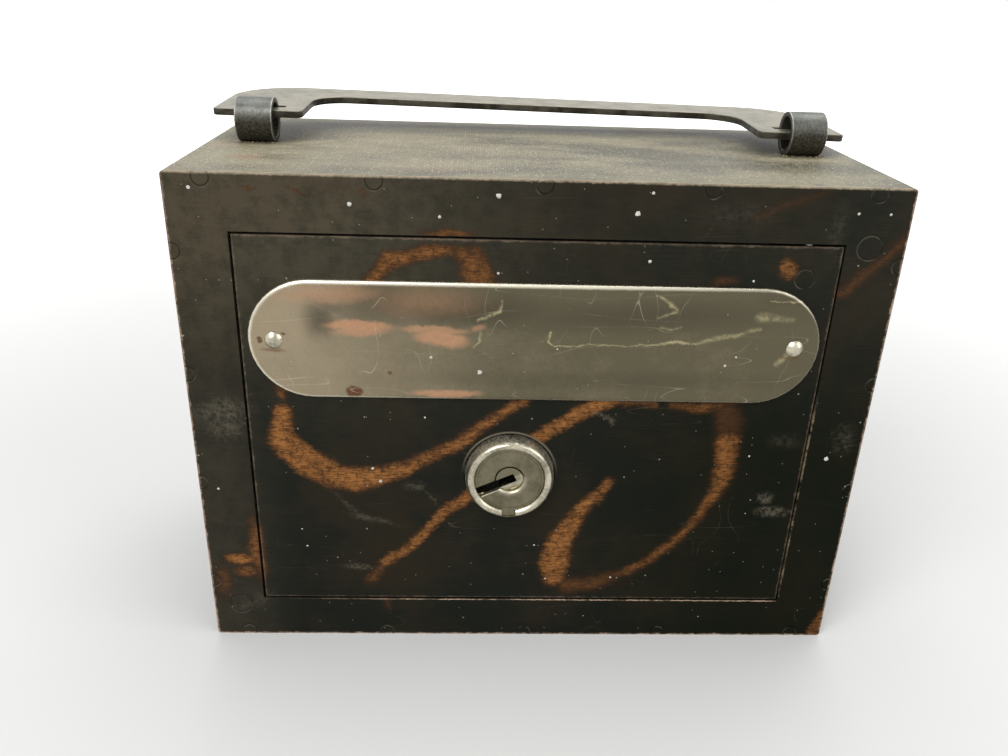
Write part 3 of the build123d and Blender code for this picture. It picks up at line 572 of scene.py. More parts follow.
SWIRLS = (
    Stroke(((-29.6, 77.4), (-26.2, 81.2), (-19.6, 83.0), (-16.4, 83.2)), (2.6, 3.4, 3.0, 2.0), 0.75),
    Stroke(((-15.2, 83.2), (-12.2, 81.4), (-10.6, 77.6)), (2.8, 6.4, 7.2), 0.55, 1.4),
    Stroke(((-46.4, 57.2), (-46.8, 54.4)), (3.4, 1.6), 0.6),
    Stroke(
        (
            (-47.0, 51.4), (-47.2, 46.0), (-43.4, 41.6), (-37.6, 38.0), (-34.0, 37.0),
            (-30.2, 38.0), (-24.0, 40.2), (-15.6, 44.8), (-7.4, 50.8), (-2.3, 54.8),
        ),
        (3.4, 6.0, 6.6, 6.0, 5.6, 4.6, 3.2, 2.6, 2.3, 2.2),
        0.92,
    ),
    Stroke(((14.6, 55.4), (7.3, 51.4), (0.6, 46.6)), (3.8, 3.0, 3.2), 0.95, 0.8),
    Stroke(((-10.2, 35.8), (-16.8, 29.6), (-23.4, 22.6), (-28.0, 18.2)), (3.2, 2.8, 2.6, 2.4), 0.82, 0.8),
    Stroke(((-28.0, 18.2), (-31.2, 13.8)), (2.2, 2.6), 0.55, 1.3),
    Stroke(((-28.2, 8.4), (-27.8, 6.6)), (2.2, 1.4), 0.45),
    Stroke(((12.0, 54.8), (22.0, 54.8)), (2.6, 1.8), 0.75),
    Stroke(((25.6, 54.6), (31.0, 53.6), (35.6, 55.0)), (1.8, 2.8, 2.0), 0.62, 1.2),
    Stroke(((36.2, 54.6), (36.9, 50.5), (37.4, 46.5)), (6.0, 6.6, 6.0), 0.32, 1.4),
    Stroke(
        ((37.4, 46.5), (37.9, 41.5), (36.6, 36.2), (33.6, 29.6), (29.1, 23.0), (25.3, 19.2), (20.6, 16.4)),
        (5.4, 4.6, 3.4, 2.5, 2.3, 2.4, 2.6),
        0.66,
    ),
    Stroke(((20.6, 16.4), (15.4, 14.0), (8.8, 12.6)), (2.8, 4.6, 5.2), 0.42, 1.5),
    Stroke(
        ((15.4, 37.8), (10.4, 30.6), (6.5, 24.0), (5.4, 18.6), (5.7, 15.2)), (2.0, 3.2, 5.2, 6.8, 5.2), 0.95
    ),
    Stroke(((53.6, 77.0), (58.4, 81.6), (63.6, 86.9)), (3.4, 3.0, 3.2), 0.42, 1.6),
    Stroke(((36.8, 90.0), (41.6, 92.6), (48.4, 95.2)), (2.2, 2.4, 2.2), 0.34, 1.5),
)

COPPER_PATCHES = (
    Patch((43.4, 81.0), (1.8, 1.7), 0.0, 0.62, 0.6),
    Patch((32.2, 78.7), (2.6, 1.0), 0.0, 0.32, 0.7),
    Patch((-16.4, 86.1), (4.8, 0.7), 0.0, 0.48, 0.8),
    Patch((-53.8, 21.0), (1.5, 7.0), 4.0, 0.6, 0.9),
    Patch((-57.2, 18.6), (3.0, 1.2), -8.0, 0.95, 0.6),
    Patch((-56.6, 15.6), (2.4, 1.2), -8.0, 0.6, 0.8),
    Patch((-61.4, 13.2), (1.6, 4.0), 0.0, 0.4, 0.8),
    Patch((63.4, 2.4), (2.2, 8.4), -22.0, 0.55, 0.35),
    Patch((-49.2, 93.5), (1.3, 0.3), -14.0, 0.34, 0.6),
    Patch((-41.6, 92.6), (2.0, 0.3), -20.0, 0.30, 0.7),
    Patch((-30.5, 92.8), (0.5, 1.0), 0.0, 0.38, 0.6),
    Patch((-36.4, 94.0), (6.0, 1.4), 0.0, 0.15, 0.9),
)

SCUFFS = (
    Patch((-35.2, 31.6), (3.6, 0.35), -38.0, 0.26, 0.9),
    Patch((-30.6, 28.4), (3.8, 0.5), -16.0, 0.34, 0.9),
    Patch((-22.4, 36.2), (1.8, 0.9), -10.0, 0.32, 0.8),
    Patch((-19.0, 33.2), (2.4, 0.25), -52.0, 0.26, 0.8),
    Patch((46.6, 34.2), (1.4, 1.1), 10.0, 0.46, 0.7),
    Patch((48.4, 30.8), (2.9, 1.1), -6.0, 0.50, 0.8),
    Patch((-57.6, 51.8), (4.2, 1.8), 8.0, 0.34, 0.9),
    Patch((-57.4, 48.4), (2.8, 2.2), 0.0, 0.30, 0.9),
    Patch((-33.6, 17.0), (2.8, 0.6), -6.0, 0.36, 0.8),
    Patch((12.4, 51.8), (1.6, 0.35), -14.0, 0.50, 0.7),
    Patch((14.4, 50.8), (0.5, 1.0), 30.0, 0.36, 0.8),
    Patch((48.4, 47.0), (2.4, 1.4), 0.0, 0.14, 0.9),
    Patch((60.0, 47.6), (1.6, 2.6), 0.0, 0.20, 0.9),
    Patch((34.0, 90.6), (5.0, 2.0), 0.0, 0.09, 0.9),
    Patch((50.8, 88.0), (1.2, 4.0), 0.0, 0.12, 0.9),
    Patch((-56.0, 8.0), (4.0, 1.4), 30.0, 0.20, 0.9),
)

TOP_STAINS = (
    Patch((-52.2, -17.0), (2.6, 1.8), 0.0, 0.62, 0.8),
    Patch((-59.4, -5.0), (3.6, 1.0), 0.0, 0.5, 0.8),
    Patch((-20.0, -24.0), (9.0, 2.0), 4.0, 0.22, 0.9),
)

TOP_DUST = (
    Patch((-53.7, -5.4), (6.6, 1.6), 0.0, 0.75, 0.7),
    Patch((-46.2, -1.4), (3.4, 1.8), 10.0, 0.5, 0.8),
    Patch((-60.6, -1.6), (2.4, 2.4), 0.0, 0.55, 0.8),
    Patch((52.9, -5.6), (7.0, 1.6), 0.0, 0.75, 0.7),
    Patch((60.2, -2.4), (3.0, 1.8), 0.0, 0.5, 0.8),
    Patch((16.0, -20.0), (9.0, 3.4), -12.0, 0.45, 0.9),
    Patch((30.0, 2.0), (16.0, 3.0), -28.0, 0.35, 0.9),
    Patch((-24.0, -6.0), (16.0, 8.0), -10.0, 0.3, 0.9),
)


@dataclass(frozen=True)
class CaseSizes:
    """Sizes of the case that its finish follows, in millimetres."""

    width: float
    height: float
    front: float
    back: float
    opening: tuple[float, float, float, float]
    pin_pitch_across: float = 28.5
    pin_pitch_up: float = 22.8333
    pin_first_up: float = 13.6
    pin_radius: float = 1.45
    pin_below_top: float = 0.9
    pin_in_side: float = 0.3

    @staticmethod
    def read() -> CaseSizes:
        """Reads the sizes from the frame.

        Returns:
            The sizes.
        """
        low, high = millimetres("front_frame")
        door_low, door_high = millimetres("door_panel")
        _, back = millimetres("back_plate")
        opening = (
            door_low.x - WIDE_GAP,
            door_high.x + NARROW_GAP,
            door_low.z - NARROW_GAP,
            door_high.z + WIDE_GAP,
        )
        return CaseSizes(high.x - low.x, high.z, low.y, back.y, opening)


class Skin(Graph):
    """The nodes of one material, with the object's own place in millimetres."""

    def __init__(self, name: str, effects: Effects) -> None:
        """Starts the material.

        Args:
            name: Name of the finish.
            effects: The shared effects.
        """
        self.material = bpy.data.materials.new(f"{name}_finish")
        self.material.use_nodes = True
        super().__init__(self.material.node_tree)
        self.effects = effects
        where = self.add("ShaderNodeTexCoord")
        self.facing = Term(self, where.outputs["Normal"])
        metres = Term(self, where.outputs["Object"])
        self.place = self.node("ShaderNodeVectorMath", {0: metres, "Scale": 1.0 / MM}, operation="SCALE")

    def mottle(self, scale: float, detail: float, rough: float) -> Term:
        """Gives a soft noise at the place."""
        return self.noise(self.place, scale, detail, rough)

    def grain(self, along: float, across: float) -> Term:
        """Gives fine lines along X."""
        return self.use(self.effects.grain, place=self.place, along=along, across=across)

    def scratches(self, *kinds: tuple[Triple, float, float]) -> Term:
        """Gives fine scratches.

        Args:
            kinds: Stretch, width and share of each kind.

        Returns:
            1 in a scratch and 0 elsewhere.
        """
        return self.most(
            self.use(self.effects.hairlines, place=self.place, stretch=stretch, width=width, share=share)
            for stretch, width, share in kinds
        )

    def patches(self, spot: Sequence[Term], patches: Iterable[Patch]) -> Term:
        """Joins several patches into one mask.

        Args:
            spot: The place across and up.
            patches: The patches.

        Returns:
            The strongest patch at each place.
        """
        return self.most(
            self.use(
                self.effects.patch,
                x=spot[0],
                z=spot[1],
                centre_x=patch.centre[0],
                centre_z=patch.centre[1],
                size_x=patch.size[0],
                size_z=patch.size[1],
                angle=math.radians(patch.angle),
                soft=patch.soft,
                strength=patch.strength,
            )
            for patch in patches
        )

    def strokes(self, spot: Sequence[Term], strokes: Iterable[Stroke]) -> Term:
        """Joins several strokes, each with a fading edge, into one mask.

        Args:
            spot: The place across and up.
            strokes: The strokes.

        Returns:
            The strongest stroke at each place.
        """

        def mask(stroke: Stroke) -> Term:
            """Gives one stroke's mask, from how deep a place lies in its pieces.

            Args:
                stroke: The stroke.

            Returns:
                Its mask.
            """
            depth = self.most(
                self.use(self.effects.stroke, x=spot[0], z=spot[1], **piece) for piece in stroke.pieces()
            )
            return self.between(depth, -0.9 * stroke.fade, 1.6 * stroke.fade) * stroke.strength

        return self.most(mask(stroke) for stroke in strokes)

    def finish(self, bump: tuple[Term, float, float], **inputs: Value) -> None:
        """Feeds the material's shader.

        Args:
            bump: Height, depth in millimetres and strength of the bump.
            inputs: Values for the shader's inputs, with spaces written as underscores.
        """
        shader = self.tree.nodes["Principled BSDF"]
        for name, value in inputs.items():
            self.feed(shader.inputs[name.replace("_", " ")], value)
        self.feed(shader.inputs["Normal"], self.bump(*bump))


@dataclass(frozen=True)
class Finish:
    """What every finish has: a name, and a way to build its material."""

    name: str

    def build(self, effects: Effects) -> bpy.types.Material:
        """Builds the material.

        Args:
            effects: The shared effects.

        Returns:
            The material.
        """
        skin = Skin(self.name, effects)
        self.paint(skin)
        return skin.material

    def paint(self, skin: Skin) -> None:
        """Adds the finish's own nodes."""
        raise NotImplementedError


@dataclass(frozen=True)
class BlackenedSteel(Finish):
    """Blackened plating over steel, worn pale at its edges, wiped through to copper in swirls, with painted
    sheen, shade and highlights.
    """

    sizes: CaseSizes
    edge_centre: Triple
    edge_half: Triple
    edge_strength: float = 1.0
    deep: Colour = (0.0065, 0.0080, 0.0052)
    warm: Colour = (0.0165, 0.0130, 0.0070)
    haze_and_sheen: Colour = (0.060, 0.049, 0.031)
    copper: Colour = (0.300, 0.124, 0.036)
    fringe: Colour = (0.038, 0.018, 0.008)
    scuffed: Colour = (0.19, 0.165, 0.12)
    edge_worn: Colour = (0.40, 0.29, 0.21)
    lip_worn: Colour = (0.46, 0.33, 0.23)
    # Colour of the painted highlight along the right side of the door's opening.
    brass: Colour = (0.17, 0.13, 0.075)
    dust: Colour = (0.350, 0.320, 0.215)
    heaped: Colour = (0.40, 0.345, 0.225)
    stain: Colour = (0.30, 0.20, 0.125)
    flecks: Colour = (0.62, 0.60, 0.52)
    joint: Colour = (0.002, 0.002, 0.0015)
    painted_glint: Colour = (0.075, 0.068, 0.050)
    pale_mark: Colour = (0.15, 0.13, 0.095)
    shine: float = 0.09
    far_shine: float = 0.015
    top_shine: float = 0.22
    front_fade: Place = (0.5, 0.2)
    top_fade: Place = (0.55, 0.1)
    shade_across: Place = (-10.0, 50.0)
    shade_down: Place = (84.0, 40.0)
    lip_drop: float = 0.22
    lip_run: float = 40.0
    highlight_rise: float = 6.0
    highlight_top: Place = (58.0, 50.0)
    ring_width: float = 0.24
    glint_drop: float = 0.26
    marks: tuple[tuple[float, float, float, float], ...] = (
        (57.1, 85.4, 2.2, 0.75), (-58.1, 7.8, 2.2, 0.65), (46.65, 79.55, 1.75, 0.7),
    )
    lock_rim: tuple[float, float, float, float] = (-4.15, 39.0, 9.05, 0.34)
    scratch_kinds: tuple[tuple[Triple, float, float], ...] = (
        ((0.022, 0.03, 0.15), 0.0022, 0.42), ((0.12, 0.1, 0.05), 0.0035, 0.52),
    )
    speck_kinds: tuple[Speck, ...] = ((0.16, 0.030, 0.88), (0.45, 0.048, 0.93))
    grit_kinds: tuple[Place, ...] = ((0.45, 0.08), (0.95, 0.12), (1.9, 0.20))
    grit_from: Place = (0.9, 2.2)

    def paint(self, skin: Skin) -> None:
        """Blackens the steel, paints sheen, shade and highlights on it, wipes and wears it, draws its joints
        and lays the dust.

        Args:
            skin: The material's nodes.
        """
        x, _, z = skin.parts(skin.place)
        top = self._fade(skin, z, self.sizes.height, [-reach for reach in self.top_fade])
        grain = skin.grain(0.16, 7.0)
        broad = skin.mottle(0.05, 4.0, 0.6)
        cloud = skin.mottle(0.32, 6.0, 0.72)
        tone = (grain - 0.5).scaled(0.5, broad)
        # Painted shade: towards the lower right the steel is painted darker and less warm, and shines less.
        away = skin.between(x, *self.shade_across) * skin.between(z, *self.shade_down)
        warmth = skin.between(tone, 0.38, 0.68) * skin.blend(away, 1.0, 0.35)
        colour = skin.mix(warmth, self.deep, self.warm)
        # Brownish veil with a painted sheen over it, strongest at the upper left of the front.
        colour = skin.mix(self._haze_and_sheen(skin, cloud, grain), colour, self.haze_and_sheen)
        colour, copper = self._wiped(skin, cloud, colour)
        scratches = skin.scratches(*self.scratch_kinds) * skin.between(grain, 0.42, 0.56)
        colour = skin.mix(scratches * 0.13, colour, self.dust)
        colour = self._worn_edges(skin, cloud, colour)
        colour, joint = self._joints(skin, cloud, colour)
        colour, cover = self._dusted(skin, top, colour)
        rough = (grain - 0.5).scaled(0.12, skin.blend(cloud, 0.26, 0.44))
        rough = skin.blend(cover, skin.blend(copper * 0.8, rough, 0.42), 0.60)
        height = grain.scaled(0.7, cloud * 0.5) - scratches * 0.5 - joint * 1.6
        shine = skin.blend(top, skin.blend(away, self.shine, self.far_shine), self.top_shine)
        bump = (height, 0.035, 0.5)
        metal = copper * 0.35
        skin.finish(bump, Base_Color=colour, Roughness=rough, Metallic=metal, Specular_IOR_Level=shine)

    @staticmethod
    def _fade(skin: Skin, along: Term, face: float, reaches: Sequence[float]) -> Term:
        """Gives a mask of one face, which fades in between two distances from it."""
        return skin.between(along, face + reaches[0], face + reaches[1])

    @staticmethod
    def _haze_and_sheen(skin: Skin, cloud: Term, grain: Term) -> Term:
        """Gives the brownish veil and painted sheen, which are strongest at the upper left of the front.

        Args:
            skin: The material's nodes.
            cloud: A soft noise.
            grain: Fine lines.

        Returns:
            How much of the brownish veil and painted sheen there is.
        """
        x, _, z = skin.parts(skin.place)
        high = skin.between(z, 40.0, 92.0)
        corner = skin.between(x, 16.0, -48.0) * high
        edge = skin.between(x, -44.0, -60.0) * 0.35
        veil = skin.math("MAXIMUM", corner * 0.85 + high * 0.12, edge)
        patchy = skin.between(cloud, 0.28, 0.66) + (grain - 0.5)
        return veil * patchy.scaled(0.6, 0.55)

    def _wiped(self, skin: Skin, cloud: Term, colour: Term) -> tuple[Term, Term]:
        """Wipes the swirls and patches into the front.

        Args:
            skin: The material's nodes.
            cloud: A soft noise.
            colour: The colour so far.

        Returns:
            The colour and how much copper shows.
        """
        _, y, _ = skin.parts(skin.place)
        front = self._fade(skin, y, self.sizes.front, self.front_fade)
        streaks = skin.grain(0.25, 2.4) - 0.5
        bent = skin.vector("ADD", skin.place, skin.join(streaks * 2.2, 0.0, 0.0))
        across, _, up = skin.parts(skin.warp(skin.warp(bent, 0.14, 2.4), 1.5, 1.5))
        spot = (across, up)
        copper = skin.most((skin.strokes(spot, SWIRLS), skin.patches(spot, COPPER_PATCHES))) * front
        lines = skin.grain(0.4, 3.4)
        pits = skin.mottle(1.1, 6.0, 0.78)
        cracks = skin.most((skin.between(lines, 0.51, 0.38), skin.between(pits, 0.46, 0.36)))
        mottled = skin.between(cloud, 0.36, 0.62).scaled(0.45, 0.30)
        shade = skin.between(pits, 0.40, 0.60).scaled(0.40, mottled)
        colour = skin.mix(skin.between(copper, 0.0, 0.5), colour, self.fringe)
        bare = skin.between(copper, 0.15, 1.0) * shade * cracks.scaled(-0.8, 1.0)
        colour = skin.mix(bare, colour, self.copper)
        scuff = skin.patches(spot, SCUFFS) * front * skin.between(pits, 0.38, 0.64)
        return skin.mix(scuff, colour, self.scuffed), copper

    def _worn_edges(self, skin: Skin, cloud: Term, colour: Term) -> Term:
        """Bares the metal along the piece's outer edges and round the door's opening, and paints a
        brass-coloured highlight along the opening's right side.

        Args:
            skin: The material's nodes.
            cloud: A soft noise.
            colour: The colour so far.

        Returns:
            The colour.
        """
        crumbled = skin.warp(skin.place, 1.1, 0.8)
        edge = skin.use(skin.effects.box_edge, place=crumbled, centre=self.edge_centre, half=self.edge_half)
        some = skin.between(cloud, 0.40, 0.60).scaled(0.55, 0.30)
        wear = skin.between(abs(edge), 0.46, 0.08) * some
        colour = skin.mix(wear * self.edge_strength, colour, self.edge_worn)
        left, right, bottom, _ = self.sizes.opening
        x, y, z = skin.parts(skin.warp(skin.place, 1.6, 0.35))
        across = skin.between(x, left, left + self.lip_run) * skin.between(x, right, right - 0.4)
        low = skin.between(abs(z - (bottom - self.lip_drop)), 0.18, 0.02) * across
        low = low * skin.between(cloud, 0.40, 0.56).scaled(0.75, 0.2)
        near = self._fade(skin, y, self.sizes.front, (0.7, 0.3))
        colour = skin.mix(low * near, colour, self.lip_worn)
        # Painted highlight: a brass-coloured line along the right side of the door's opening.
        upright = skin.between(z, bottom, bottom + self.highlight_rise) * skin.between(z, *self.highlight_top)
        side = skin.between(abs(x - (right + 0.1)), 0.30, 0.06) * upright * skin.between(cloud, 0.40, 0.60)
        return skin.mix(side * near, colour, self.brass)

    def _joints(self, skin: Skin, cloud: Term, colour: Term) -> tuple[Term, Term]:
        """Draws the thin joints round the flush pins and rivets, a painted highlight on a copy of the rings
        set a little lower, and the worn rim round the lock.

        Args:
            skin: The material's nodes.
            cloud: A soft noise.
            colour: The colour so far.

        Returns:
            The colour and the mask of the joints.
        """
        size = self.sizes
        x, y, z = skin.parts(skin.place)
        half = (size.back - size.front) / 2
        faces = skin.between(abs(y - (size.front + size.back) / 2), half - 0.4, half - 0.1)
        # The second set of rings, moved down, is a painted highlight on the lower side of each joint.
        joint, light = (self._rings(skin, x, z + drop) * faces for drop in (0.0, self.glint_drop))
        joint = joint * cloud.scaled(1.4, 0.0)
        light = light * skin.between(skin.mottle(0.5, 2.0, 0.5), 0.40, 0.60)
        colour = skin.mix(light, colour, self.painted_glint)
        lock_x, lock_z, radius, width = self.lock_rim
        above = z - lock_z
        pale_mark = skin.use(skin.effects.ring, x=x - lock_x, z=above, radius=radius, width=width)
        pale_mark = pale_mark * skin.between(above, -1.0, 7.0) * self._fade(skin, y, size.front, (0.4, 0.1))
        colour = skin.mix(pale_mark, colour, self.pale_mark)
        return skin.mix(joint, colour, self.joint), joint

    def _rings(self, skin: Skin, x: Term, up: Term) -> Term:
        """Draws a ring round each flush end, on rows along the top and bottom and columns at the sides.

        Args:
            skin: The material's nodes.
            x: The place across.
            up: The place up.

        Returns:
            The mask of the rings.
        """
        size = self.sizes
        past_row = abs(up - size.height / 2) - (size.height / 2 - size.pin_below_top)
        past_column = abs(x) - (size.width / 2 - size.pin_in_side)
        along_row = self._spaced(skin, x, size.pin_pitch_across)
        along_column = self._spaced(skin, up - size.pin_first_up, size.pin_pitch_up)
        spots = [
            (along_row, past_row, size.pin_radius, 1.0),
            (along_column, past_column, size.pin_radius, 1.0),
        ]
        for mark_x, mark_z, radius, strength in self.marks:
            spots.append((x - mark_x, up - mark_z, radius, strength))
        return skin.most(
            skin.use(skin.effects.ring, x=across, z=above, radius=radius, width=self.ring_width) * strength
            for across, above, radius, strength in spots
        )

    @staticmethod
    def _spaced(skin: Skin, along: Term, pitch: float) -> Term:
        """Gives the distance along a row of evenly spaced things from the nearest one."""
        return skin.math("WRAP", along, pitch / 2, -pitch / 2)

    def _dusted(self, skin: Skin, top: Term, colour: Term) -> tuple[Term, Term]:
        """Lays dust, stains and grit on the top face, and fine specks on the front.

        Args:
            skin: The material's nodes.
            top: 1 on the top face.
            colour: The colour so far.

        Returns:
            The colour and how much dust there is.
        """
        x, y, z = skin.parts(skin.place)
        upright = skin.join(x, z, 0.0)
        specks = skin.most(
            skin.dots(upright, scale, size, True, bare) for scale, size, bare in self.speck_kinds
        )
        specks = specks * (self._fade(skin, y, self.sizes.front, self.front_fade) - top)
        colour = skin.mix(specks * 0.35, colour, self.flecks)
        across, _, along = skin.parts(skin.warp(skin.join(x, 0.0, y), 0.7, 2.0))
        spot = (across, along)
        stretched = skin.vector("MULTIPLY", skin.place, (0.04, 0.10, 1.0))
        film = skin.between(skin.noise(stretched, 1.0, 5.0, 0.6), 0.36, 0.64)
        fine = skin.between(skin.mottle(1.1, 6.0, 0.9), 0.47, 0.60)
        grit = skin.most(skin.dots(skin.place, scale, size, flat=True) for scale, size in self.grit_kinds)
        heaps = skin.patches(spot, TOP_DUST) * fine.scaled(0.6, 0.5)
        cover = (film.scaled(0.34, fine * 0.26) + 0.16) * top
        colour = skin.mix(cover, colour, self.dust)
        heaps = heaps * top
        colour = skin.mix(heaps, colour, self.heaped)
        colour = skin.mix(skin.patches(spot, TOP_STAINS) * top, colour, self.stain)
        inland = self._fade(skin, y, self.sizes.front, self.grit_from)
        grit = grit * top * skin.blend(inland, 0.0, 0.75)
        return skin.mix(grit, colour, self.flecks), skin.most((cover, heaps))


@dataclass(frozen=True)
class NameplateNickel(Finish):
    """Aged nickel plating, half polished, with copper showing where it wore through and a bright rim with a
    painted highlight along the top.
    """

    centre: Triple
    straight: float
    radius: float
    light: Colour = (0.345, 0.283, 0.192)
    dull: Colour = (0.128, 0.114, 0.072)
    smoke: Colour = (0.050, 0.043, 0.032)
    copper: Colour = (0.52, 0.285, 0.165)
    bright: Colour = (0.80, 0.75, 0.60)
    brown: Colour = (0.135, 0.065, 0.034)
    brass: Colour = (0.62, 0.54, 0.31)
    dull_from: Place = (-52.0, 2.0)
    high_from: Place = (2.0, 10.5)
    rim_low: Place = (0.65, 0.12)
    rim_high: Place = (0.95, 0.30)
    scratch_kinds: tuple[tuple[Triple, float, float], ...] = (
        ((0.03, 0.1, 0.22), 0.003, 0.40), ((0.16, 0.1, 0.07), 0.004, 0.50),
    )
    smudges: tuple[Patch, ...] = (
        Patch((-38.6, 70.6), (2.6, 3.0), 0.0, 0.72, 0.9),
        Patch((-36.6, 72.8), (4.0, 1.3), -14.0, 0.50, 0.8),
        Patch((-30.0, 72.6), (8.0, 3.4), 0.0, 0.45, 0.9),
        Patch((-12.0, 72.6), (13.0, 2.8), 0.0, 0.55, 0.9),
        Patch((18.0, 72.0), (22.0, 2.4), 2.0, 0.45, 0.9),
        Patch((12.0, 59.6), (30.0, 1.6), 0.0, 0.28, 0.9),
        Patch((44.0, 75.2), (6.0, 1.4), 0.0, 0.25, 0.9),
    )
    worn: tuple[Patch, ...] = (
        Patch((-31.8, 69.4), (5.6, 1.0), -2.0, 0.95, 0.35),
        Patch((-31.4, 68.4), (4.4, 0.9), 3.0, 0.80, 0.5),
        Patch((-18.6, 68.9), (5.6, 0.7), -3.0, 0.80, 0.4),
        Patch((-17.2, 67.2), (4.4, 1.6), -8.0, 0.95, 0.35),
        Patch((-10.6, 69.3), (1.2, 0.6), 20.0, 0.6, 0.5),
        Patch((-36.6, 75.2), (8.0, 1.4), 2.0, 0.55, 0.8),
        Patch((-20.0, 74.2), (8.0, 2.4), 0.0, 0.35, 0.9),
        Patch((-16.6, 56.5), (5.8, 0.7), 0.0, 0.9, 0.4),
    )
    chips: tuple[Patch, ...] = (
        Patch((-33.0, 56.6), (1.5, 1.3), 0.0, 1.0, 0.25),
        Patch((-49.5, 66.4), (0.4, 0.6), 0.0, 0.9, 0.3),
        Patch((-45.2, 67.6), (0.4, 0.25), 0.0, 0.8, 0.3),
        Patch((-26.6, 60.4), (0.35, 0.3), 0.0, 0.8, 0.3),
        Patch((-47.2, 64.6), (1.9, 0.35), 0.0, 0.6, 0.6),
        Patch((46.4, 64.6), (1.9, 0.35), 0.0, 0.5, 0.6),
    )
    wear_lines: tuple[Stroke, ...] = (
        Stroke(
            ((2.2, 68.8), (2.0, 67.0), (3.1, 66.1), (8.2, 66.4), (18.0, 66.4)),
            (0.4, 0.4, 0.3, 0.2, 0.15),
            0.9,
            0.2,
        ),
        Stroke(((18.0, 66.4), (23.6, 67.2), (28.6, 67.0)), (0.15, 0.5, 0.3), 0.9, 0.25),
        Stroke(((28.6, 67.0), (31.4, 68.0), (36.8, 69.2), (40.0, 70.2)), (0.3, 0.9, 0.7, 0.3), 0.6, 0.45),
        Stroke(((20.7, 76.2), (22.9, 74.7), (24.7, 73.0), (21.1, 72.0)), (0.3, 0.6, 0.5, 0.3), 0.7, 0.3),
        Stroke(((21.8, 70.2), (24.0, 69.6), (25.4, 70.3)), (0.3, 0.4, 0.3), 0.5, 0.25),
        Stroke(((40.7, 75.3), (44.0, 75.3), (47.4, 75.2)), (0.15, 0.2, 0.15), 0.8, 0.15),
        Stroke(((39.8, 72.4), (42.4, 72.3), (45.6, 71.8)), (1.8, 1.2, 0.5), 0.45, 0.6),
        Stroke(((-10.8, 70.8), (-9.2, 71.4), (-7.2, 72.6), (-6.8, 74.4)), (0.5, 0.7, 0.6, 0.35), 0.7, 0.3),
        Stroke(((-10.0, 68.6), (-10.4, 66.8), (-11.6, 65.8)), (0.3, 0.35, 0.25), 0.7, 0.2),
        Stroke(((43.8, 63.3), (45.6, 65.0)), (0.9, 0.9), 0.6, 0.5),
    )

    def paint(self, skin: Skin) -> None:
        """Plates the nickel, smokes it, wears it through and scratches it.

        Args:
            skin: The material's nodes.
        """
        across, _, up = skin.parts(skin.warp(skin.warp(skin.place, 0.22, 1.5), 1.3, 0.7))
        spot = (across, up)
        cloud = skin.mottle(0.085, 4.0, 0.6)
        fine = skin.mottle(0.9, 6.0, 0.75)
        colour = skin.mix(self._shade(skin, cloud, fine), self.light, self.dull)
        smoke = skin.patches(spot, self.smudges) * skin.blend(fine, 1.25, 0.7)
        colour = skin.mix(smoke, colour, self.smoke)
        copper = skin.patches(spot, self.worn) * skin.blend(fine, 0.45, 1.25)
        colour = skin.mix(copper, colour, self.copper)
        brass = skin.strokes(spot, self.wear_lines) * skin.between(fine, 0.3, 0.6)
        colour = skin.mix(brass, colour, self.brass)
        colour = skin.mix(skin.patches(spot, self.chips), colour, self.brown)
        scratches = skin.scratches(*self.scratch_kinds)
        colour = skin.mix(scratches * 0.45, colour, self.bright)
        # The polished rim, with a painted highlight that is wider and brighter along the top.
        colour = skin.mix(self._rim_and_highlight(skin, fine), colour, self.bright)
        colour = skin.mix(skin.dots(skin.place, 0.5, 0.06) * 0.5, colour, self.bright)
        rough = skin.between(fine, 0.35, 0.75).scaled(0.14, 0.20)
        height = fine.scaled(0.35, cloud * 3.0) - scratches * 0.4
        skin.finish((height, 0.04, 0.6), Base_Color=colour, Roughness=rough, Metallic=1.0)

    def _shade(self, skin: Skin, cloud: Term, fine: Term) -> Term:
        """Gives how dull the plating is, more so towards the right and the top.

        Args:
            skin: The material's nodes.
            cloud: A soft noise.
            fine: A fine noise.

        Returns:
            The share of dull plating.
        """
        x, _, z = skin.parts(skin.place)
        shade = (cloud - 0.5).scaled(0.7, skin.between(x, *self.dull_from))
        high = skin.between(z, *(self.centre[2] + rise for rise in self.high_from))
        shade = shade + high * skin.between(x, -40.0, -20.0)
        return (fine - 0.5).scaled(0.35, shade)

    def _rim_and_highlight(self, skin: Skin, fine: Term) -> Term:
        """Gives the polished rim, with a painted highlight that makes it wider and brighter along the top.

        Args:
            skin: The material's nodes.
            fine: A fine noise.

        Returns:
            How bright the rim is.
        """
        x, _, z = skin.parts(skin.place)
        inset = skin.use(
            skin.effects.stadium_edge,
            x=x,
            z=z,
            centre_x=self.centre[0],
            centre_z=self.centre[2],
            straight=self.straight,
            radius=self.radius,
        )
        upper = skin.between(z - x * 0.35, 56.0, 76.0)
        ends = (skin.blend(upper, low, high) for low, high in zip(self.rim_low, self.rim_high))
        rim = skin.between((fine - 0.5).scaled(0.4, inset), *ends)
        return rim * skin.blend(upper, 0.30, 0.95)


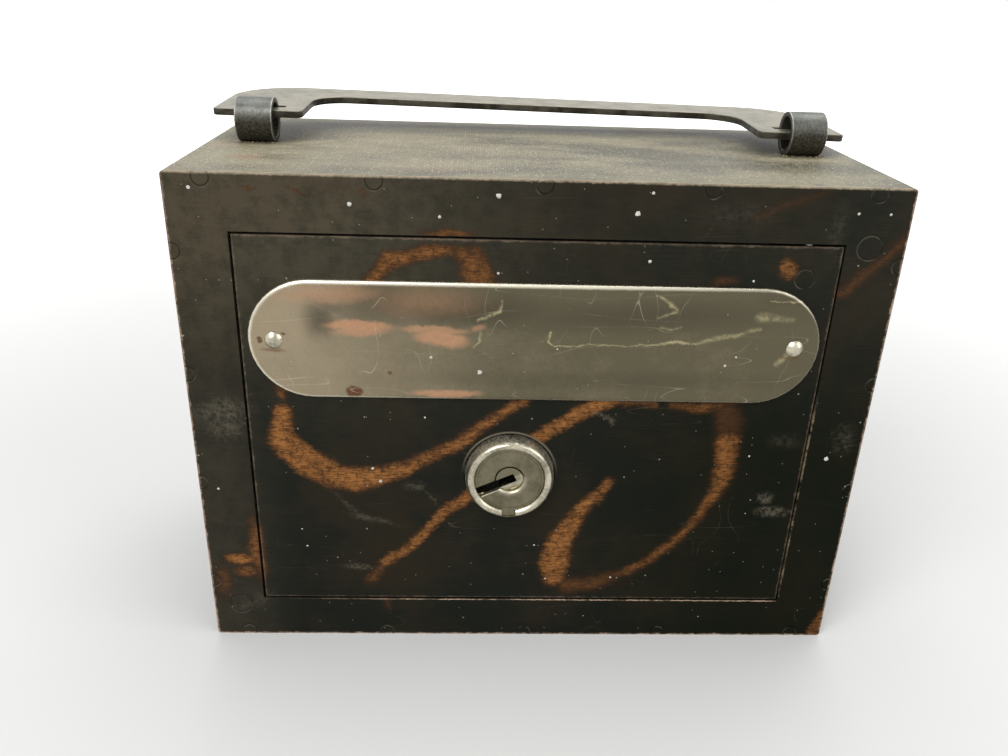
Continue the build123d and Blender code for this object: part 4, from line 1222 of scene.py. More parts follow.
@dataclass(frozen=True)
class LockNickel(Finish):
    """Nickel plating on the lock, patchy bright and dull, with painted shade on one side where lit_from is set
    and painted highlights along given strokes.
    """

    centre: Triple
    bright: Colour = (0.66, 0.61, 0.48)
    dull: Colour = (0.24, 0.22, 0.165)
    soot: Colour = (0.05, 0.045, 0.035)
    # Colour of the painted highlights along the given strokes.
    pale_mark: Colour = (0.86, 0.80, 0.62)
    low_rough: float = 0.15
    high_rough: float = 0.34
    flank_rough: float = 0.62
    flank_from: float = 100.0
    flank_fade: float = 0.8
    lit_from: float = -100.0
    ring_at: float = 6.15
    turned: bool = False
    # Strokes painted bright as highlights along lit edges.
    wear: tuple[Stroke, ...] = ()

    def paint(self, skin: Skin) -> None:
        """Plates the nickel, dulls it, paints shade on one side, soots its flank and paints highlights along
        some edges.

        Args:
            skin: The material's nodes.
        """
        fine = skin.mottle(1.6, 6.0, 0.75)
        cloud = skin.mottle(0.35, 4.0, 0.6)
        x, _, z = skin.parts(skin.vector("SUBTRACT", skin.place, self.centre))
        reach = skin.reach(x, z)
        if self.turned:
            rings = skin.noise(skin.join(reach * 5.0, 0.0, 0.0), 1.0, 3.0, 0.6)
            line = skin.between(abs(reach - self.ring_at), 0.12, 0.02)
        else:
            rings = skin.grain(0.8, 5.0)
            line = skin.between(fine, 0.68, 0.80)
        tone = cloud * 0.75 + fine * 0.45
        # Painted light: with lit_from set, the upper left is painted dull as shade and the lower right kept
        # bright.
        unlit = skin.between(x * 0.5 - z * 0.85, self.lit_from + 0.8, self.lit_from - 0.6)
        colour = skin.mix(skin.most((skin.between(tone, 0.42, 0.85), unlit)), self.bright, self.dull)
        colour = skin.mix(line * 0.55, colour, self.soot)
        colour = skin.mix(skin.dots(skin.place, 1.1, 0.1) * 0.7, colour, self.soot)
        flank = skin.between(reach, self.flank_from, self.flank_from + self.flank_fade)
        speckled = flank * skin.between(skin.mottle(2.6, 3.0, 0.7), 0.46, 0.60)
        colour = skin.mix(speckled, colour, self.soot)
        # The strokes are painted highlights along lit edges.
        if self.wear:
            colour = skin.mix(skin.strokes((x, z), self.wear), colour, self.pale_mark)
        rough = skin.blend(skin.between(fine, 0.35, 0.7), self.low_rough, self.high_rough)
        rough = skin.blend(flank, rough, self.flank_rough)
        height = rings * 0.5 + fine * 0.4
        skin.finish((height, 0.02, 0.5), Base_Color=colour, Roughness=rough, Metallic=1.0)


@dataclass(frozen=True)
class BareSteel(Finish):
    """Steel that is mottled bright and dark, may have painted shade on its narrow sides and be rusty low down.
    """

    bright: Colour = (0.30, 0.31, 0.32)
    dark: Colour = (0.055, 0.055, 0.056)
    rust: Colour = (0.10, 0.045, 0.018)
    # Colour of the painted shade on narrow sides, and of the loops' darkened flat ends.
    sides: Colour = (0.02, 0.018, 0.014)
    chipped: Colour = (0.46, 0.45, 0.40)
    flecks: Colour = (0.42, 0.41, 0.37)
    painted_side_shade: float = 0.0
    rims: Triple | None = None
    rust_below: float | None = None
    rust_depth: float = 4.0
    metal: float = 0.9
    shine: float = 0.5
    side_shine: float = 0.12
    along: float = 0.6
    across: float = 3.0
    low_rough: float = 0.30
    high_rough: float = 0.50
    rust_rough: float = 0.8

    def paint(self, skin: Skin) -> None:
        """Mottles the steel, paints shade on its sides, rusts it low down and chips its rims.

        Args:
            skin: The material's nodes.
        """
        grain = skin.grain(self.along, self.across)
        fine = skin.mottle(1.5, 6.0, 0.75)
        cloud = skin.mottle(0.22, 4.0, 0.6)
        colour = skin.mix(skin.between(grain.scaled(0.5, cloud * 0.6), 0.38, 0.78), self.bright, self.dark)
        rough = skin.blend(skin.between(fine, 0.35, 0.7), self.low_rough, self.high_rough)
        metal, shine = self.metal, self.shine
        # Painted shade: faces that do not face up or down are darkened, patchily, and lose their metal and
        # shine.
        if self.painted_side_shade:
            patchy = skin.between(cloud, 0.60, 0.42).scaled(0.25, 0.75)
            facing = abs(skin.parts(skin.facing)[2])
            side = skin.between(facing, 0.85, 0.45) * (patchy * self.painted_side_shade)
            colour = skin.mix(side, colour, self.sides)
            metal = (1.0 - side) * self.metal
            shine = skin.blend(side, self.shine, self.side_shine)
        if self.rust_below is not None:
            low = skin.between(skin.parts(skin.place)[2], self.rust_below + self.rust_depth, self.rust_below)
            stained = low * skin.between(skin.mottle(2.2, 5.0, 0.8), 0.44, 0.60).scaled(0.45, 0.55)
            colour = skin.mix(stained, colour, self.rust)
            rough = skin.blend(stained, rough, self.rust_rough)
        colour = skin.mix(skin.scratches(((0.1, 0.3, 0.3), 0.005, 0.45)) * 0.35, colour, self.chipped)
        if self.rims:
            colour = self._chipped_rims(skin, fine, colour)
        colour = skin.mix(skin.dots(skin.place, 0.8, 0.08) * 0.5, colour, self.flecks)
        height = grain.scaled(0.5, fine * 0.5)
        bump = (height, 0.03, 0.6)
        skin.finish(bump, Base_Color=colour, Roughness=rough, Metallic=metal, Specular_IOR_Level=shine)

    def _chipped_rims(self, skin: Skin, fine: Term, colour: Term) -> Term:
        """Chips the rims of the two loops bright, and darkens their flat ends.

        Args:
            skin: The material's nodes.
            fine: A fine noise.
            colour: The colour so far.

        Returns:
            The colour.
        """
        middle, off_middle, half = self.rims
        off = abs(abs(skin.parts(skin.place)[0] - middle) - off_middle)
        rim = skin.between(off + fine * 0.8, half + 0.05, half + 0.45)
        colour = skin.mix(rim * 0.75, colour, self.chipped)
        flat = skin.between(abs(skin.parts(skin.facing)[0]), 0.85, 0.98)
        return skin.mix(flat * 0.9, colour, self.sides)


@dataclass(frozen=True)
class Grit(Finish):
    """Dull crumbs and paint specks."""

    light: Colour = (0.62, 0.61, 0.56)
    dark: Colour = (0.40, 0.385, 0.34)

    def paint(self, skin: Skin) -> None:
        """Mottles the crumbs.

        Args:
            skin: The material's nodes.
        """
        fine = skin.mottle(3.0, 4.0, 0.7)
        colour = skin.mix(skin.between(fine, 0.35, 0.65), self.light, self.dark)
        skin.finish((fine, 0.03, 0.6), Base_Color=colour, Roughness=skin.blend(fine, 0.55, 0.9))


def coat(thing: bpy.types.Object, finish: bpy.types.Material) -> None:
    """Gives an object one finish.

    Args:
        thing: A CAD node or a piece.
        finish: Its material.
    """
    if not thing.data.materials:
        thing.data.materials.append(finish)
    for slot in thing.material_slots:
        slot.link = "OBJECT" if "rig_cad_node" in thing else "DATA"
        slot.material = finish
    LOG.info("%s has %s", thing.name, finish.name)


def add_piece(
    name: str, mesh: bpy.types.Mesh, body: str, finish: bpy.types.Material
) -> bpy.types.Object:
    """Adds a piece that rides on a body.

    Args:
        name: Name of the piece.
        mesh: Its mesh.
        body: The CAD body that it rides on.
        finish: Its material.

    Returns:
        The piece.
    """
    piece = bpy.data.objects.new(name, mesh)
    bpy.context.scene.collection.objects.link(piece)
    coat(piece, finish)
    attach(piece, body)
    LOG.info("piece %s rides on %s", name, body)
    return piece


def stand_in(
    node: str, mesh: bpy.types.Mesh, body: str, finish: bpy.types.Material
) -> bpy.types.Object:
    """Adds a piece that is shown in place of a CAD node.

    Args:
        node: Name of the CAD node.
        mesh: The piece's mesh.
        body: The CAD body that it rides on.
        finish: Its material.

    Returns:
        The piece.
    """
    piece = add_piece(f"{node}_shell", mesh, body, finish)
    even = piece.modifiers.new("even_shading", "WEIGHTED_NORMAL")
    even.keep_sharp = True
    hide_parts(node)
    return piece


@dataclass(frozen=True)
class Rounding:
    """Rounds the sharp edges of a copy of a CAD node's mesh. The width is in millimetres."""

    width: float
    steps: int = 2
    weld: float = 0.0005
    flat_deg: float = 0.6
    sharp_deg: float = 32.0
    smooth_deg: float = 34.0

    def copy(self, node: str, wanted: Test | None = None) -> bpy.types.Mesh:
        """Copies a CAD node's mesh and rounds its sharp edges.

        Args:
            node: Name of the CAD node.
            wanted: Tells from an edge's two ends, in millimetres, whether it is rounded.

        Returns:
            The new mesh.
        """
        mesh = frame["nodes"][node].data.copy()
        mesh.name = f"{node}_rounded"
        shape = bmesh.new()
        shape.from_mesh(mesh)
        bmesh.ops.remove_doubles(shape, verts=shape.verts, dist=self.weld * MM)
        bmesh.ops.dissolve_limit(
            shape, angle_limit=math.radians(self.flat_deg), verts=shape.verts, edges=shape.edges
        )
        sharp = [
            edge
            for edge in shape.edges
            if len(edge.link_faces) == 2
            and edge.calc_face_angle() > math.radians(self.sharp_deg)
            and (wanted is None or wanted(edge.verts[0].co / MM, edge.verts[1].co / MM))
        ]
        bmesh.ops.bevel(
            shape,
            geom=sharp,
            offset=self.width * MM,
            offset_type="OFFSET",
            segments=self.steps,
            profile=0.5,
            affect="EDGES",
            clamp_overlap=True,
        )
        return finished_mesh(shape, mesh, self.smooth_deg)


def finished_mesh(
    shape: bmesh.types.BMesh, mesh: bpy.types.Mesh, smooth_deg: float | None = None
) -> bpy.types.Mesh:
    """Writes a shape into a mesh, drops normals of its own and shades it smooth.

    Args:
        shape: The shape, which is freed.
        mesh: The mesh.
        smooth_deg: Edges that bend by more than this stay sharp.

    Returns:
        The mesh.
    """
    shape.to_mesh(mesh)
    shape.free()
    if mesh.has_custom_normals:
        mesh.attributes.remove(mesh.attributes["custom_normal"])
    mesh.shade_smooth()
    if smooth_deg is not None:
        mesh.set_sharp_from_angle(angle=math.radians(smooth_deg))
    return mesh


def blob_mesh(
    name: str, blobs: Iterable[tuple[Vector, Vector]], seed: int, subdivisions: int
) -> bpy.types.Mesh:
    """Makes a mesh of small irregular lumps.

    Args:
        name: Name of the mesh.
        blobs: Centre and half sizes of each lump, in millimetres.
        seed: Seeds the lumps' uneven shapes.
        subdivisions: How fine each lump is.

    Returns:
        The mesh.
    """
    shape = bmesh.new()
    rand = random.Random(seed)
    for centre, half in blobs:
        made = bmesh.ops.create_icosphere(shape, subdivisions=subdivisions, radius=1.0)
        offset = Vector([rand.uniform(0, NOISE_SPAN) for _ in range(3)])
        for vert in made["verts"]:
            swell = 1.0 + BLOB_SWELL * noise.noise(vert.co * BLOB_SCALE + offset)
            vert.co = Vector(c * h for c, h in zip(vert.co * swell, half)) * MM + centre * MM
    return finished_mesh(shape, bpy.data.meshes.new(name))


def speck_mesh(name: str, specks: Iterable[Speck], y: float, depth: float, seed: int) -> bpy.types.Mesh:
    """Makes a mesh of flat paint specks on an upright face.

    Args:
        name: Name of the mesh.
        specks: Place across, place up and size of each speck.
        y: Where the face is.
        depth: How far each speck stands out.
        seed: Seeds the specks' uneven shapes.

    Returns:
        The mesh.
    """
    blobs = []
    for x, z, size in specks:
        half = SPECK_SHARE * size
        blobs.append((Vector((x, y, z)), Vector((half, depth, half))))
    return blob_mesh(name, blobs, seed, SPECK_STEPS)


@dataclass
class Casing:
    """The case: wall wrap, front, back, pins, pillars, stop frame and coin guard."""

    effects: Effects
    sizes: CaseSizes = field(default_factory=CaseSizes.read)
    edge_round: float = 0.28
    rim_reach: float = 0.8
    touch: float = 0.01
    shortest: float = 1.0
    opening_margin: float = 0.1
    speck_seed: int = 5
    speck_depth: float = 0.08
    specks: tuple[Speck, ...] = (
        (-7.7, 92.8, 0.55), (16.0, 90.3, 0.55), (18.3, 93.9, 0.35), (-17.6, 89.0, 0.35), (-32.7, 90.8, 0.5),
        (59.6, 91.2, 0.3), (54.0, 91.2, 0.34), (57.2, 43.2, 0.55), (-60.0, 35.0, 0.3), (-59.0, 93.0, 0.42),
    )
    crumb_place_seed: int = 11
    crumb_shape_seed: int = 12
    crumb_shape: Triple = (1.0, 0.8, 0.6)
    crumb_lift: float = 0.4
    crumb_count: int = 46
    crumb_sizes: Place = (0.08, 0.24)
    crumb_spread: float = 0.9
    crumb_row: float = -0.55
    crumb_off_row: Place = (1.7, 0.45)

    def dress(self) -> None:
        """Rounds the front and the back and gives every piece of the case its finish."""
        size = self.sizes
        centre = (0.0, (size.front + size.back) / 2, size.height / 2)
        half = (size.width / 2, (size.back - size.front) / 2, size.height / 2)
        outside = BlackenedSteel("casing_steel", sizes=size, edge_centre=centre, edge_half=half)
        steel = outside.build(self.effects)
        inside = BareSteel("frame_steel", bright=(0.22, 0.215, 0.20), dark=(0.07, 0.066, 0.06), metal=0.8)
        inner = inside.build(self.effects)
        rounding = Rounding(self.edge_round)
        stand_in("front_frame", rounding.copy("front_frame", self._front_edge), "case", steel)
        stand_in("back_plate", rounding.copy("back_plate", self._back_edge), "case", steel)
        for node in ("wall_wrap", "front_seam_pins", "back_seam_pins", "corner_pillars"):
            coat(frame["nodes"][node], steel)
        for node in ("pivot_pin_upper", "pivot_pin_lower", "stop_frame", "coin_guard", "coin_guard_rivets"):
            coat(frame["nodes"][node], inner)
        self._specks()

    def _on_rim(self, start: Vector, stop: Vector) -> bool:
        """Tells whether an edge is a long one near the case's outline.

        Args:
            start: One end of the edge.
            stop: Its other end.

        Returns:
            Whether it is.
        """
        middle = (start + stop) / 2
        reach = min(self.sizes.width / 2 - abs(middle.x), middle.z, self.sizes.height - middle.z)
        return reach < self.rim_reach and (start - stop).length > self.shortest

    def _front_edge(self, start: Vector, stop: Vector) -> bool:
        """Tells whether an edge lies on the front's rim or round its opening.

        Args:
            start: One end of the edge.
            stop: Its other end.

        Returns:
            Whether it does.
        """
        left, right, bottom, top = self.sizes.opening
        on_face = max(start.y, stop.y) < self.sizes.front + self.touch
        middle = (start + stop) / 2
        margin = self.opening_margin
        across = left - margin < middle.x < right + margin
        around = across and bottom - margin < middle.z < top + margin
        return on_face and (around or self._on_rim(start, stop))

    def _back_edge(self, start: Vector, stop: Vector) -> bool:
        """Tells whether an edge lies on the back's rim."""
        return min(start.y, stop.y) > self.sizes.back - self.touch and self._on_rim(start, stop)

    def _specks(self) -> None:
        """Adds the paint specks on the front, and the grit round the loops' feet."""
        paint = Grit("paint_specks").build(self.effects)
        mesh = speck_mesh("specks", self.specks, self.sizes.front, self.speck_depth, self.speck_seed)
        add_piece("front_paint_specks", mesh, "case", paint)
        dust = Grit("loop_grit", light=(0.50, 0.37, 0.20), dark=(0.10, 0.07, 0.04)).build(self.effects)
        rand = random.Random(self.crumb_place_seed)
        crumbs = []
        for loop in ("handle_loop_left", "handle_loop_right"):
            low, high = millimetres(loop)
            for _ in range(self.crumb_count):
                x = rand.uniform(low.x - self.crumb_spread, high.x + self.crumb_spread)
                y = self.crumb_row + rand.choice((-1, 1)) * rand.gauss(*self.crumb_off_row)
                r = rand.uniform(*self.crumb_sizes)
                centre = Vector((x, y, self.sizes.height + self.crumb_lift * r))
                crumbs.append((centre, Vector([r * share for share in self.crumb_shape])))
        mesh = blob_mesh("grit", crumbs, self.crumb_shape_seed, 1)
        add_piece("loop_grit", mesh, "case", dust)


@dataclass
class Nameplate:
    """The bare oblong plate and its two domed rivets."""

    effects: Effects
    ripple: float = 0.035
    ripple_from: float = 1.3
    ripple_scale: Place = (0.11, 0.16)
    straight_steps: int = 44
    round_steps: int = 20
    smooth_deg: float = 50.0
    rim: tuple[Place, ...] = (
        (0.0, 0.72), (0.07, 0.46), (0.22, 0.26), (0.45, 0.12), (0.75, 0.04), (1.1, 0.01), (1.6, 0.03),
        (2.5, 0.06), (4.0, 0.06), (5.6, 0.06), (7.4, 0.06), (9.2, 0.06),
    )
    slit: Place = (0.4, 0.06)

    def dress(self) -> None:
        """Builds the plate with a soft rim and slightly uneven face, and dresses its rivets."""
        low, high = millimetres("nameplate")
        radius = (high.z - low.z) / 2
        centre = (low + high) / 2
        straight = (high.x - low.x) / 2 - radius
        nickel = NameplateNickel(
            "plate_nickel", centre=(centre.x, 0.0, centre.z), straight=straight, radius=radius
        ).build(self.effects)
        mesh = self._mesh(low, high, centre, straight, radius)
        stand_in("nameplate", mesh, "door", nickel)
        dome = LockNickel("rivet_nickel", centre=tuple(centre), low_rough=0.16).build(self.effects)
        coat(frame["nodes"]["nameplate_rivets"], dome)

    def _outline(self, centre: Vector, straight: float, radius: float) -> list[Place]:
        """Gives points round the oblong, with as many on each stretch whatever the radius.

        Args:
            centre: Its middle.
            straight: Half the length of its straight sides.
            radius: Radius of its ends.

        Returns:
            The points, across and up.
        """
        points: list[Place] = []
        for side in (1, -1):
            for step in range(self.straight_steps):
                x = side * straight * (2 * step / self.straight_steps - 1)
                points.append((centre.x + x, centre.z - side * radius))
            for step in range(self.round_steps):
                angle = math.pi * step / self.round_steps - side * math.pi / 2
                x = side * straight + radius * math.cos(angle)
                points.append((centre.x + x, centre.z + radius * math.sin(angle)))
        return points

    def _lift(self, x: float, z: float) -> float:
        """Gives how far the uneven face lies back at a place."""
        across, up = self.ripple_scale
        return self.ripple * (1 + noise.noise(Vector((x * across, 0.0, z * up)))) * 0.5

    def _mesh(
        self, low: Vector, high: Vector, centre: Vector, straight: float, radius: float
    ) -> bpy.types.Mesh:
        """Builds the plate from rings that step in from its outline.

        Args:
            low: Lowest corner of the CAD plate.
            high: Highest corner.
            centre: Its middle.
            straight: Half the length of its straight sides.
            radius: Radius of its ends.

        Returns:
            The mesh.
        """
        steps = [*self.rim, (radius - self.slit[0], self.slit[1])]
        profile = [(0.0, high.y)] + [(inset, low.y + sunk) for inset, sunk in steps]
        shape = bmesh.new()
        rings = []
        for inset, y in profile:
            ring = []
            for x, z in self._outline(centre, straight, radius - inset):
                lift = self._lift(x, z) if inset > self.ripple_from else 0.0
                ring.append(shape.verts.new(Vector((x, y + lift, z)) * MM))
            rings.append(ring)
        count = len(rings[0])
        for outer, inner in zip(rings, rings[1:]):
            for step in range(count):
                after = (step + 1) % count
                shape.faces.new((outer[step], outer[after], inner[after], inner[step]))
        shape.faces.new(rings[0])
        self._close(shape, rings[-1])
        bmesh.ops.recalc_face_normals(shape, faces=shape.faces)
        return finished_mesh(shape, bpy.data.meshes.new("nameplate_shell"), self.smooth_deg)

    def _close(self, shape: bmesh.types.BMesh, ring: list[bmesh.types.BMVert]) -> None:
        """Closes the innermost ring, a thin slit, with a ladder of faces.

        Args:
            shape: The plate's shape.
            ring: The ring's corners.
        """
        run = self.straight_steps
        half = run + self.round_steps
        for step in range(run):
            across = ring[half + run - step - 1], ring[(half + run - step) % len(ring)]
            shape.faces.new((ring[step], ring[step + 1], *across))
        for first in (run, half + run):
            shape.faces.new([ring[(first + step) % len(ring)] for step in range(self.round_steps + 1)])


@dataclass
class Door:
    """The door panel with its cross rivets and its paint specks."""

    effects: Effects
    edge_round: float = 0.16
    touch: float = 0.01
    speck_seed: int = 8
    speck_depth: float = 0.07
    specks: tuple[Speck, ...] = (
        (18.9, 82.0, 0.4), (-7.4, 79.3, 0.3), (37.6, 78.8, 0.26), (-30.3, 39.9, 0.34), (-28.9, 37.1, 0.4),
        (-20.3, 51.0, 0.26), (42.0, 43.6, 0.24), (-44.6, 26.0, 0.2), (1.4, 22.6, 0.22), (17.4, 14.8, 0.24),
        (-43.8, 22.0, 0.22), (4.0, 14.4, 0.2),
    )
    plate_speck_seed: int = 9
    plate_speck_depth: float = 0.08
    plate_specks: tuple[Speck, ...] = (
        (34.4, 62.9, 0.3), (-19.1, 63.6, 0.34), (-10.3, 60.8, 0.55), (36.2, 64.6, 0.24), (3.6, 65.6, 0.2),
    )

    def dress(self) -> None:
        """Rounds the door's front edges and gives it its finish."""
        low, high = millimetres("door_panel")
        steel = BlackenedSteel(
            "door_steel",
            sizes=CaseSizes.read(),
            edge_centre=tuple((low + high) / 2),
            edge_half=tuple((high - low) / 2),
            edge_strength=0.25,
            # The door's veil and painted sheen are a little weaker than the case's.
            haze_and_sheen=(0.052, 0.045, 0.029),
        ).build(self.effects)

        def outer(start: Vector, stop: Vector) -> bool:
            """Tells whether an edge lies on the front's rim.

            Args:
                start: One end of the edge.
                stop: Its other end.

            Returns:
                Whether it does.
            """
            middle = (start + stop) / 2
            reach = min(middle.x - low.x, high.x - middle.x, middle.z - low.z, high.z - middle.z)
            return reach < self.touch and max(start.y, stop.y) < low.y + self.touch

        panel = Rounding(self.edge_round).copy("door_panel", outer)
        stand_in("door_panel", panel, "door", steel)
        coat(frame["nodes"]["door_rivets"], steel)
        paint = Grit("door_paint").build(self.effects)
        mesh = speck_mesh("door_specks", self.specks, low.y, self.speck_depth, self.speck_seed)
        add_piece("door_paint_specks", mesh, "door", paint)
        depth = self.plate_speck_depth
        plate_face = millimetres("nameplate")[0].y + depth
        mesh = speck_mesh("plate_specks", self.plate_specks, plate_face, depth, self.plate_speck_seed)
        add_piece("plate_paint_specks", mesh, "door", paint)


@dataclass
class Lock:
    """The lock's face on the door: nose, disc and barrel."""

    effects: Effects
    nose_round: float = 0.07
    disc_round: float = 0.06
    barrel_round: float = 0.05
    # Painted highlights on the face disc: a bright line along the key slot's lower edge and a bright crescent
    # along the lower right of the barrel's hole.
    disc_highlights: tuple[Stroke, ...] = (
        Stroke(((-1.9, -2.1), (-5.3, -3.7)), (0.2, 0.3), 1.0, 0.12),
        Stroke(
            ((-1.6, -2.3), (0.0, -2.85), (1.6, -2.3), (2.6, -1.0), (2.8, 0.2)), (0.3, 0.36, 0.36, 0.3, 0.2)
        ),
    )

    def dress(self) -> None:
        """Rounds the nose, the disc and the barrel and plates them."""
        low, high = millimetres("lock_nose")
        centre = tuple((low + high) / 2)
        lip = LockNickel(
            "lip_nickel",
            centre=centre,
            bright=(0.66, 0.615, 0.48),
            dull=(0.19, 0.172, 0.125),
            high_rough=0.30,
            flank_from=7.85,
        )
        face = LockNickel(
            "face_nickel",
            centre=centre,
            bright=(0.205, 0.185, 0.122),
            dull=(0.120, 0.110, 0.070),
            low_rough=0.32,
            high_rough=0.50,
            turned=True,
            wear=self.disc_highlights,
        )
        core = LockNickel(
            "barrel_nickel",
            centre=centre,
            bright=(0.66, 0.61, 0.46),
            dull=(0.19, 0.172, 0.115),
            high_rough=0.40,
            # The barrel gets painted shade towards its upper left and stays bright at its lower right.
            lit_from=0.1,
        )
        for node, width, body, finish in (
            ("lock_nose", self.nose_round, "door", lip),
            ("face_disc", self.disc_round, "door", face),
            ("key_barrel", self.barrel_round, "barrel", core),
        ):
            stand_in(node, Rounding(width).copy(node), body, finish.build(self.effects))


@dataclass
class Handle:
    """The bail and its two loops."""

    effects: Effects
    bail_round: float = 0.3
    bail_steps: int = 3
    loop_round: float = 0.16
    rust_above_case: float = 3.7

    @staticmethod
    def _rims() -> Triple:
        """Measures where the loops' rims are.

        Returns:
            The middle between the loops, each loop's distance from it, and half a loop's length.
        """
        left_low, left_high = millimetres("handle_loop_left")
        right_low, right_high = millimetres("handle_loop_right")
        left = (left_low.x + left_high.x) / 2
        right = (right_low.x + right_high.x) / 2
        return (left + right) / 2, (right - left) / 2, (left_high.x - left_low.x) / 2

    def dress(self) -> None:
        """Rounds the bail and the loops and gives them their finishes."""
        _, case_top = millimetres("wall_wrap")
        bail = BareSteel(
            "bail_steel",
            bright=(0.30, 0.275, 0.205),
            dark=(0.15, 0.138, 0.100),
            sides=(0.010, 0.0075, 0.005),
            # Painted shade on the bail's narrow sides.
            painted_side_shade=0.95,
            metal=0.6,
            along=0.25,
            across=1.4,
            high_rough=0.46,
        ).build(self.effects)
        loop = BareSteel(
            "loop_steel",
            bright=(0.150, 0.155, 0.142),
            dark=(0.050, 0.050, 0.042),
            rust=(0.030, 0.024, 0.011),
            rust_below=case_top.z + self.rust_above_case,
            rust_depth=3.3,
            rims=self._rims(),
            metal=0.8,
            along=2.5,
            across=0.5,
        ).build(self.effects)
        mesh = Rounding(self.bail_round, self.bail_steps).copy("handle_bail")
        stand_in("handle_bail", mesh, "handle", bail)
        for node in ("handle_loop_left", "handle_loop_right"):
            stand_in(node, Rounding(self.loop_round).copy(node), "case", loop)


@dataclass
class Mechanism:
    """What is behind the door: lock case, bolt, levers, springs, guide and screws."""

    effects: Effects
    springs_held_at: float = 57.8
    springs_pressed_to: float = 0.45

    def dress(self) -> None:
        """Gives each piece inside its finish, and shows a copy of the lever springs in their place."""
        steel = BareSteel("lock_steel", bright=(0.27, 0.26, 0.235), dark=(0.12, 0.112, 0.096))
        screw = BareSteel("screw_steel", bright=(0.46, 0.45, 0.42), dark=(0.2, 0.19, 0.17))
        brass = BareSteel("lever_brass", bright=(0.66, 0.48, 0.19), dark=(0.36, 0.24, 0.08))
        spring = BareSteel("spring_steel", bright=(0.38, 0.40, 0.44), dark=(0.16, 0.17, 0.2))
        for finish, nodes in (
            (steel, ("lock_case", "lock_cover", "lever_post", "bolt", "bolt_stump", "bolt_guide")),
            (screw, ("case_screws", "cover_screws", "guide_screws")),
            (brass, ("lever_1", "lever_2", "lever_3")),
        ):
            material = finish.build(self.effects)
            for node in nodes:
                coat(frame["nodes"][node], material)
        leaves = frame["nodes"]["lever_springs"].data.copy()
        leaves.name = "lever_springs_pressed"
        comb = stand_in("lever_springs", leaves, "door", spring.build(self.effects))
        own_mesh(comb)


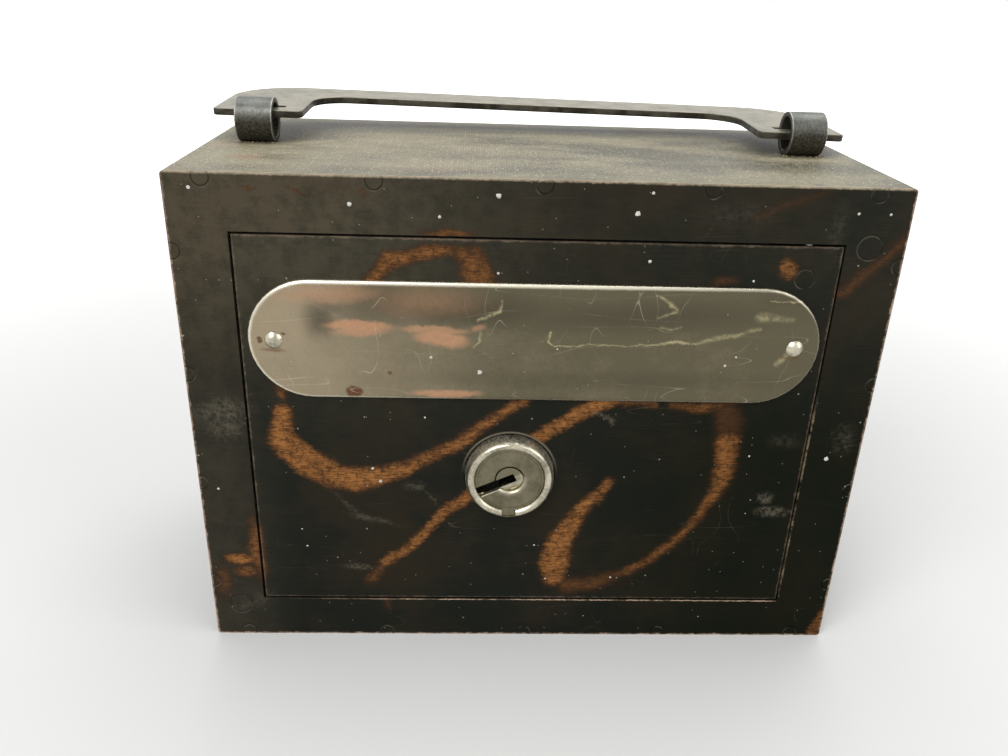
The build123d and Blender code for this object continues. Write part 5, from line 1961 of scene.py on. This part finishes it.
@dataclass
class Studio:
    """Floor, lamps, white surroundings and the camera at the photograph's viewing angle, in metres."""

    floor_colour: Colour = (0.62, 0.62, 0.61)
    floor_rough: float = 0.75
    floor_size: float = 6.0
    fade_from: float = 0.12
    fade_to: float = 0.7
    surroundings_light: float = 0.55
    lamps: tuple[tuple[str, Triple, float, float], ...] = (
        ("key_lamp", (-0.55, -0.75, 0.95), 0.8, 11.0),
        ("fill_lamp", (0.9, -0.5, 0.6), 0.9, 4.0),
        ("top_lamp", (0.1, 0.35, 1.1), 0.9, 7.0),
    )
    lamps_aim: Triple = (0.0, 0.0, 0.05)
    camera_place: Triple = (-0.012255, -0.17702, 0.125956)
    camera_clip: Place = (0.005, 20.0)
    focal_px: float = 879.8
    image_width_px: float = 1008.0
    sensor_mm: float = 36.0
    pitch: float = -0.426
    yaw: float = -0.044
    roll: float = 0.034

    def build(self) -> None:
        """Builds the whole studio."""
        self._floor()
        self._world()
        for lamp in self.lamps:
            self._lamp(*lamp)
        self._camera()
        bpy.context.scene.view_settings.view_transform = "Standard"

    def _floor(self) -> None:
        """Adds the pale floor, which is white far from the object."""
        half = self.floor_size / 2
        mesh = bpy.data.meshes.new("floor")
        outline = [(-half, -half, 0.0), (half, -half, 0.0), (half, half, 0.0), (-half, half, 0.0)]
        mesh.from_pydata(outline, [], [(0, 1, 2, 3)])
        floor = bpy.data.objects.new("floor", mesh)
        bpy.context.scene.collection.objects.link(floor)
        material = bpy.data.materials.new("floor_paint")
        material.use_nodes = True
        graph = Graph(material.node_tree)
        shader = material.node_tree.nodes["Principled BSDF"]
        seen = Term(graph, graph.add("ShaderNodeLightPath").outputs["Is Camera Ray"])
        where = Term(graph, graph.add("ShaderNodeTexCoord").outputs["Object"])
        far = graph.between(graph.length(where), self.fade_from, self.fade_to)
        graph.feed(shader.inputs["Base Color"], self.floor_colour)
        graph.feed(shader.inputs["Roughness"], self.floor_rough)
        graph.feed(shader.inputs["Emission Color"], WHITE)
        graph.feed(shader.inputs["Emission Strength"], far * seen)
        mesh.materials.append(material)

    def _world(self) -> None:
        """Makes the surroundings white where they are seen, and gentler as a light."""
        world = bpy.data.worlds.new("surroundings")
        bpy.context.scene.world = world
        world.use_nodes = True
        graph = Graph(world.node_tree)
        ground = world.node_tree.nodes["Background"]
        path = graph.add("ShaderNodeLightPath")
        rays = ("Is Camera Ray", "Is Glossy Ray", "Is Transmission Ray")
        seen = graph.most(Term(graph, path.outputs[ray]) for ray in rays)
        graph.feed(ground.inputs["Color"], WHITE)
        graph.feed(ground.inputs["Strength"], graph.blend(seen, self.surroundings_light, 1.0))

    def _lamp(self, name: str, place: Triple, size: float, watts: float) -> None:
        """Adds a square soft lamp that faces the object.

        Args:
            name: Its name.
            place: Where it is.
            size: Its side.
            watts: Its power.
        """
        light = bpy.data.lights.new(name, "AREA")
        light.size = size
        light.energy = watts
        lamp = bpy.data.objects.new(name, light)
        lamp.location = place
        aim = Vector(self.lamps_aim) - Vector(place)
        lamp.rotation_euler = aim.to_track_quat("-Z", "Y").to_euler()
        bpy.context.scene.collection.objects.link(lamp)

    def _camera(self) -> None:
        """Adds the camera."""
        data = bpy.data.cameras.new("camera")
        data.sensor_fit = "HORIZONTAL"
        data.sensor_width = self.sensor_mm
        data.lens = self.focal_px / self.image_width_px * self.sensor_mm
        data.clip_start, data.clip_end = self.camera_clip
        turn = Matrix.Rotation(self.yaw, 3, "Z") @ Matrix.Rotation(self.pitch, 3, "X")
        right, ahead, up = turn.col[0], turn.col[1], turn.col[2]
        cosine, sine = math.cos(self.roll), math.sin(self.roll)
        rolled_right = cosine * right + sine * up
        rolled_up = cosine * up - sine * right
        basis = Matrix((rolled_right, rolled_up, -ahead)).transposed()
        camera = bpy.data.objects.new("camera", data)
        camera.matrix_world = Matrix.Translation(Vector(self.camera_place)) @ basis.to_4x4()
        bpy.context.scene.collection.objects.link(camera)
        bpy.context.scene.camera = camera


def main() -> None:
    """Builds the sub-assemblies in order."""
    logging.basicConfig(level=logging.INFO, format="%(name)s: %(message)s")
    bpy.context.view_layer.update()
    Studio().build()
    effects = Effects()
    for assembly in (Casing, Door, Nameplate, Lock, Handle, Mechanism):
        assembly(effects).dress()


if __name__ == "__main__":
    main()
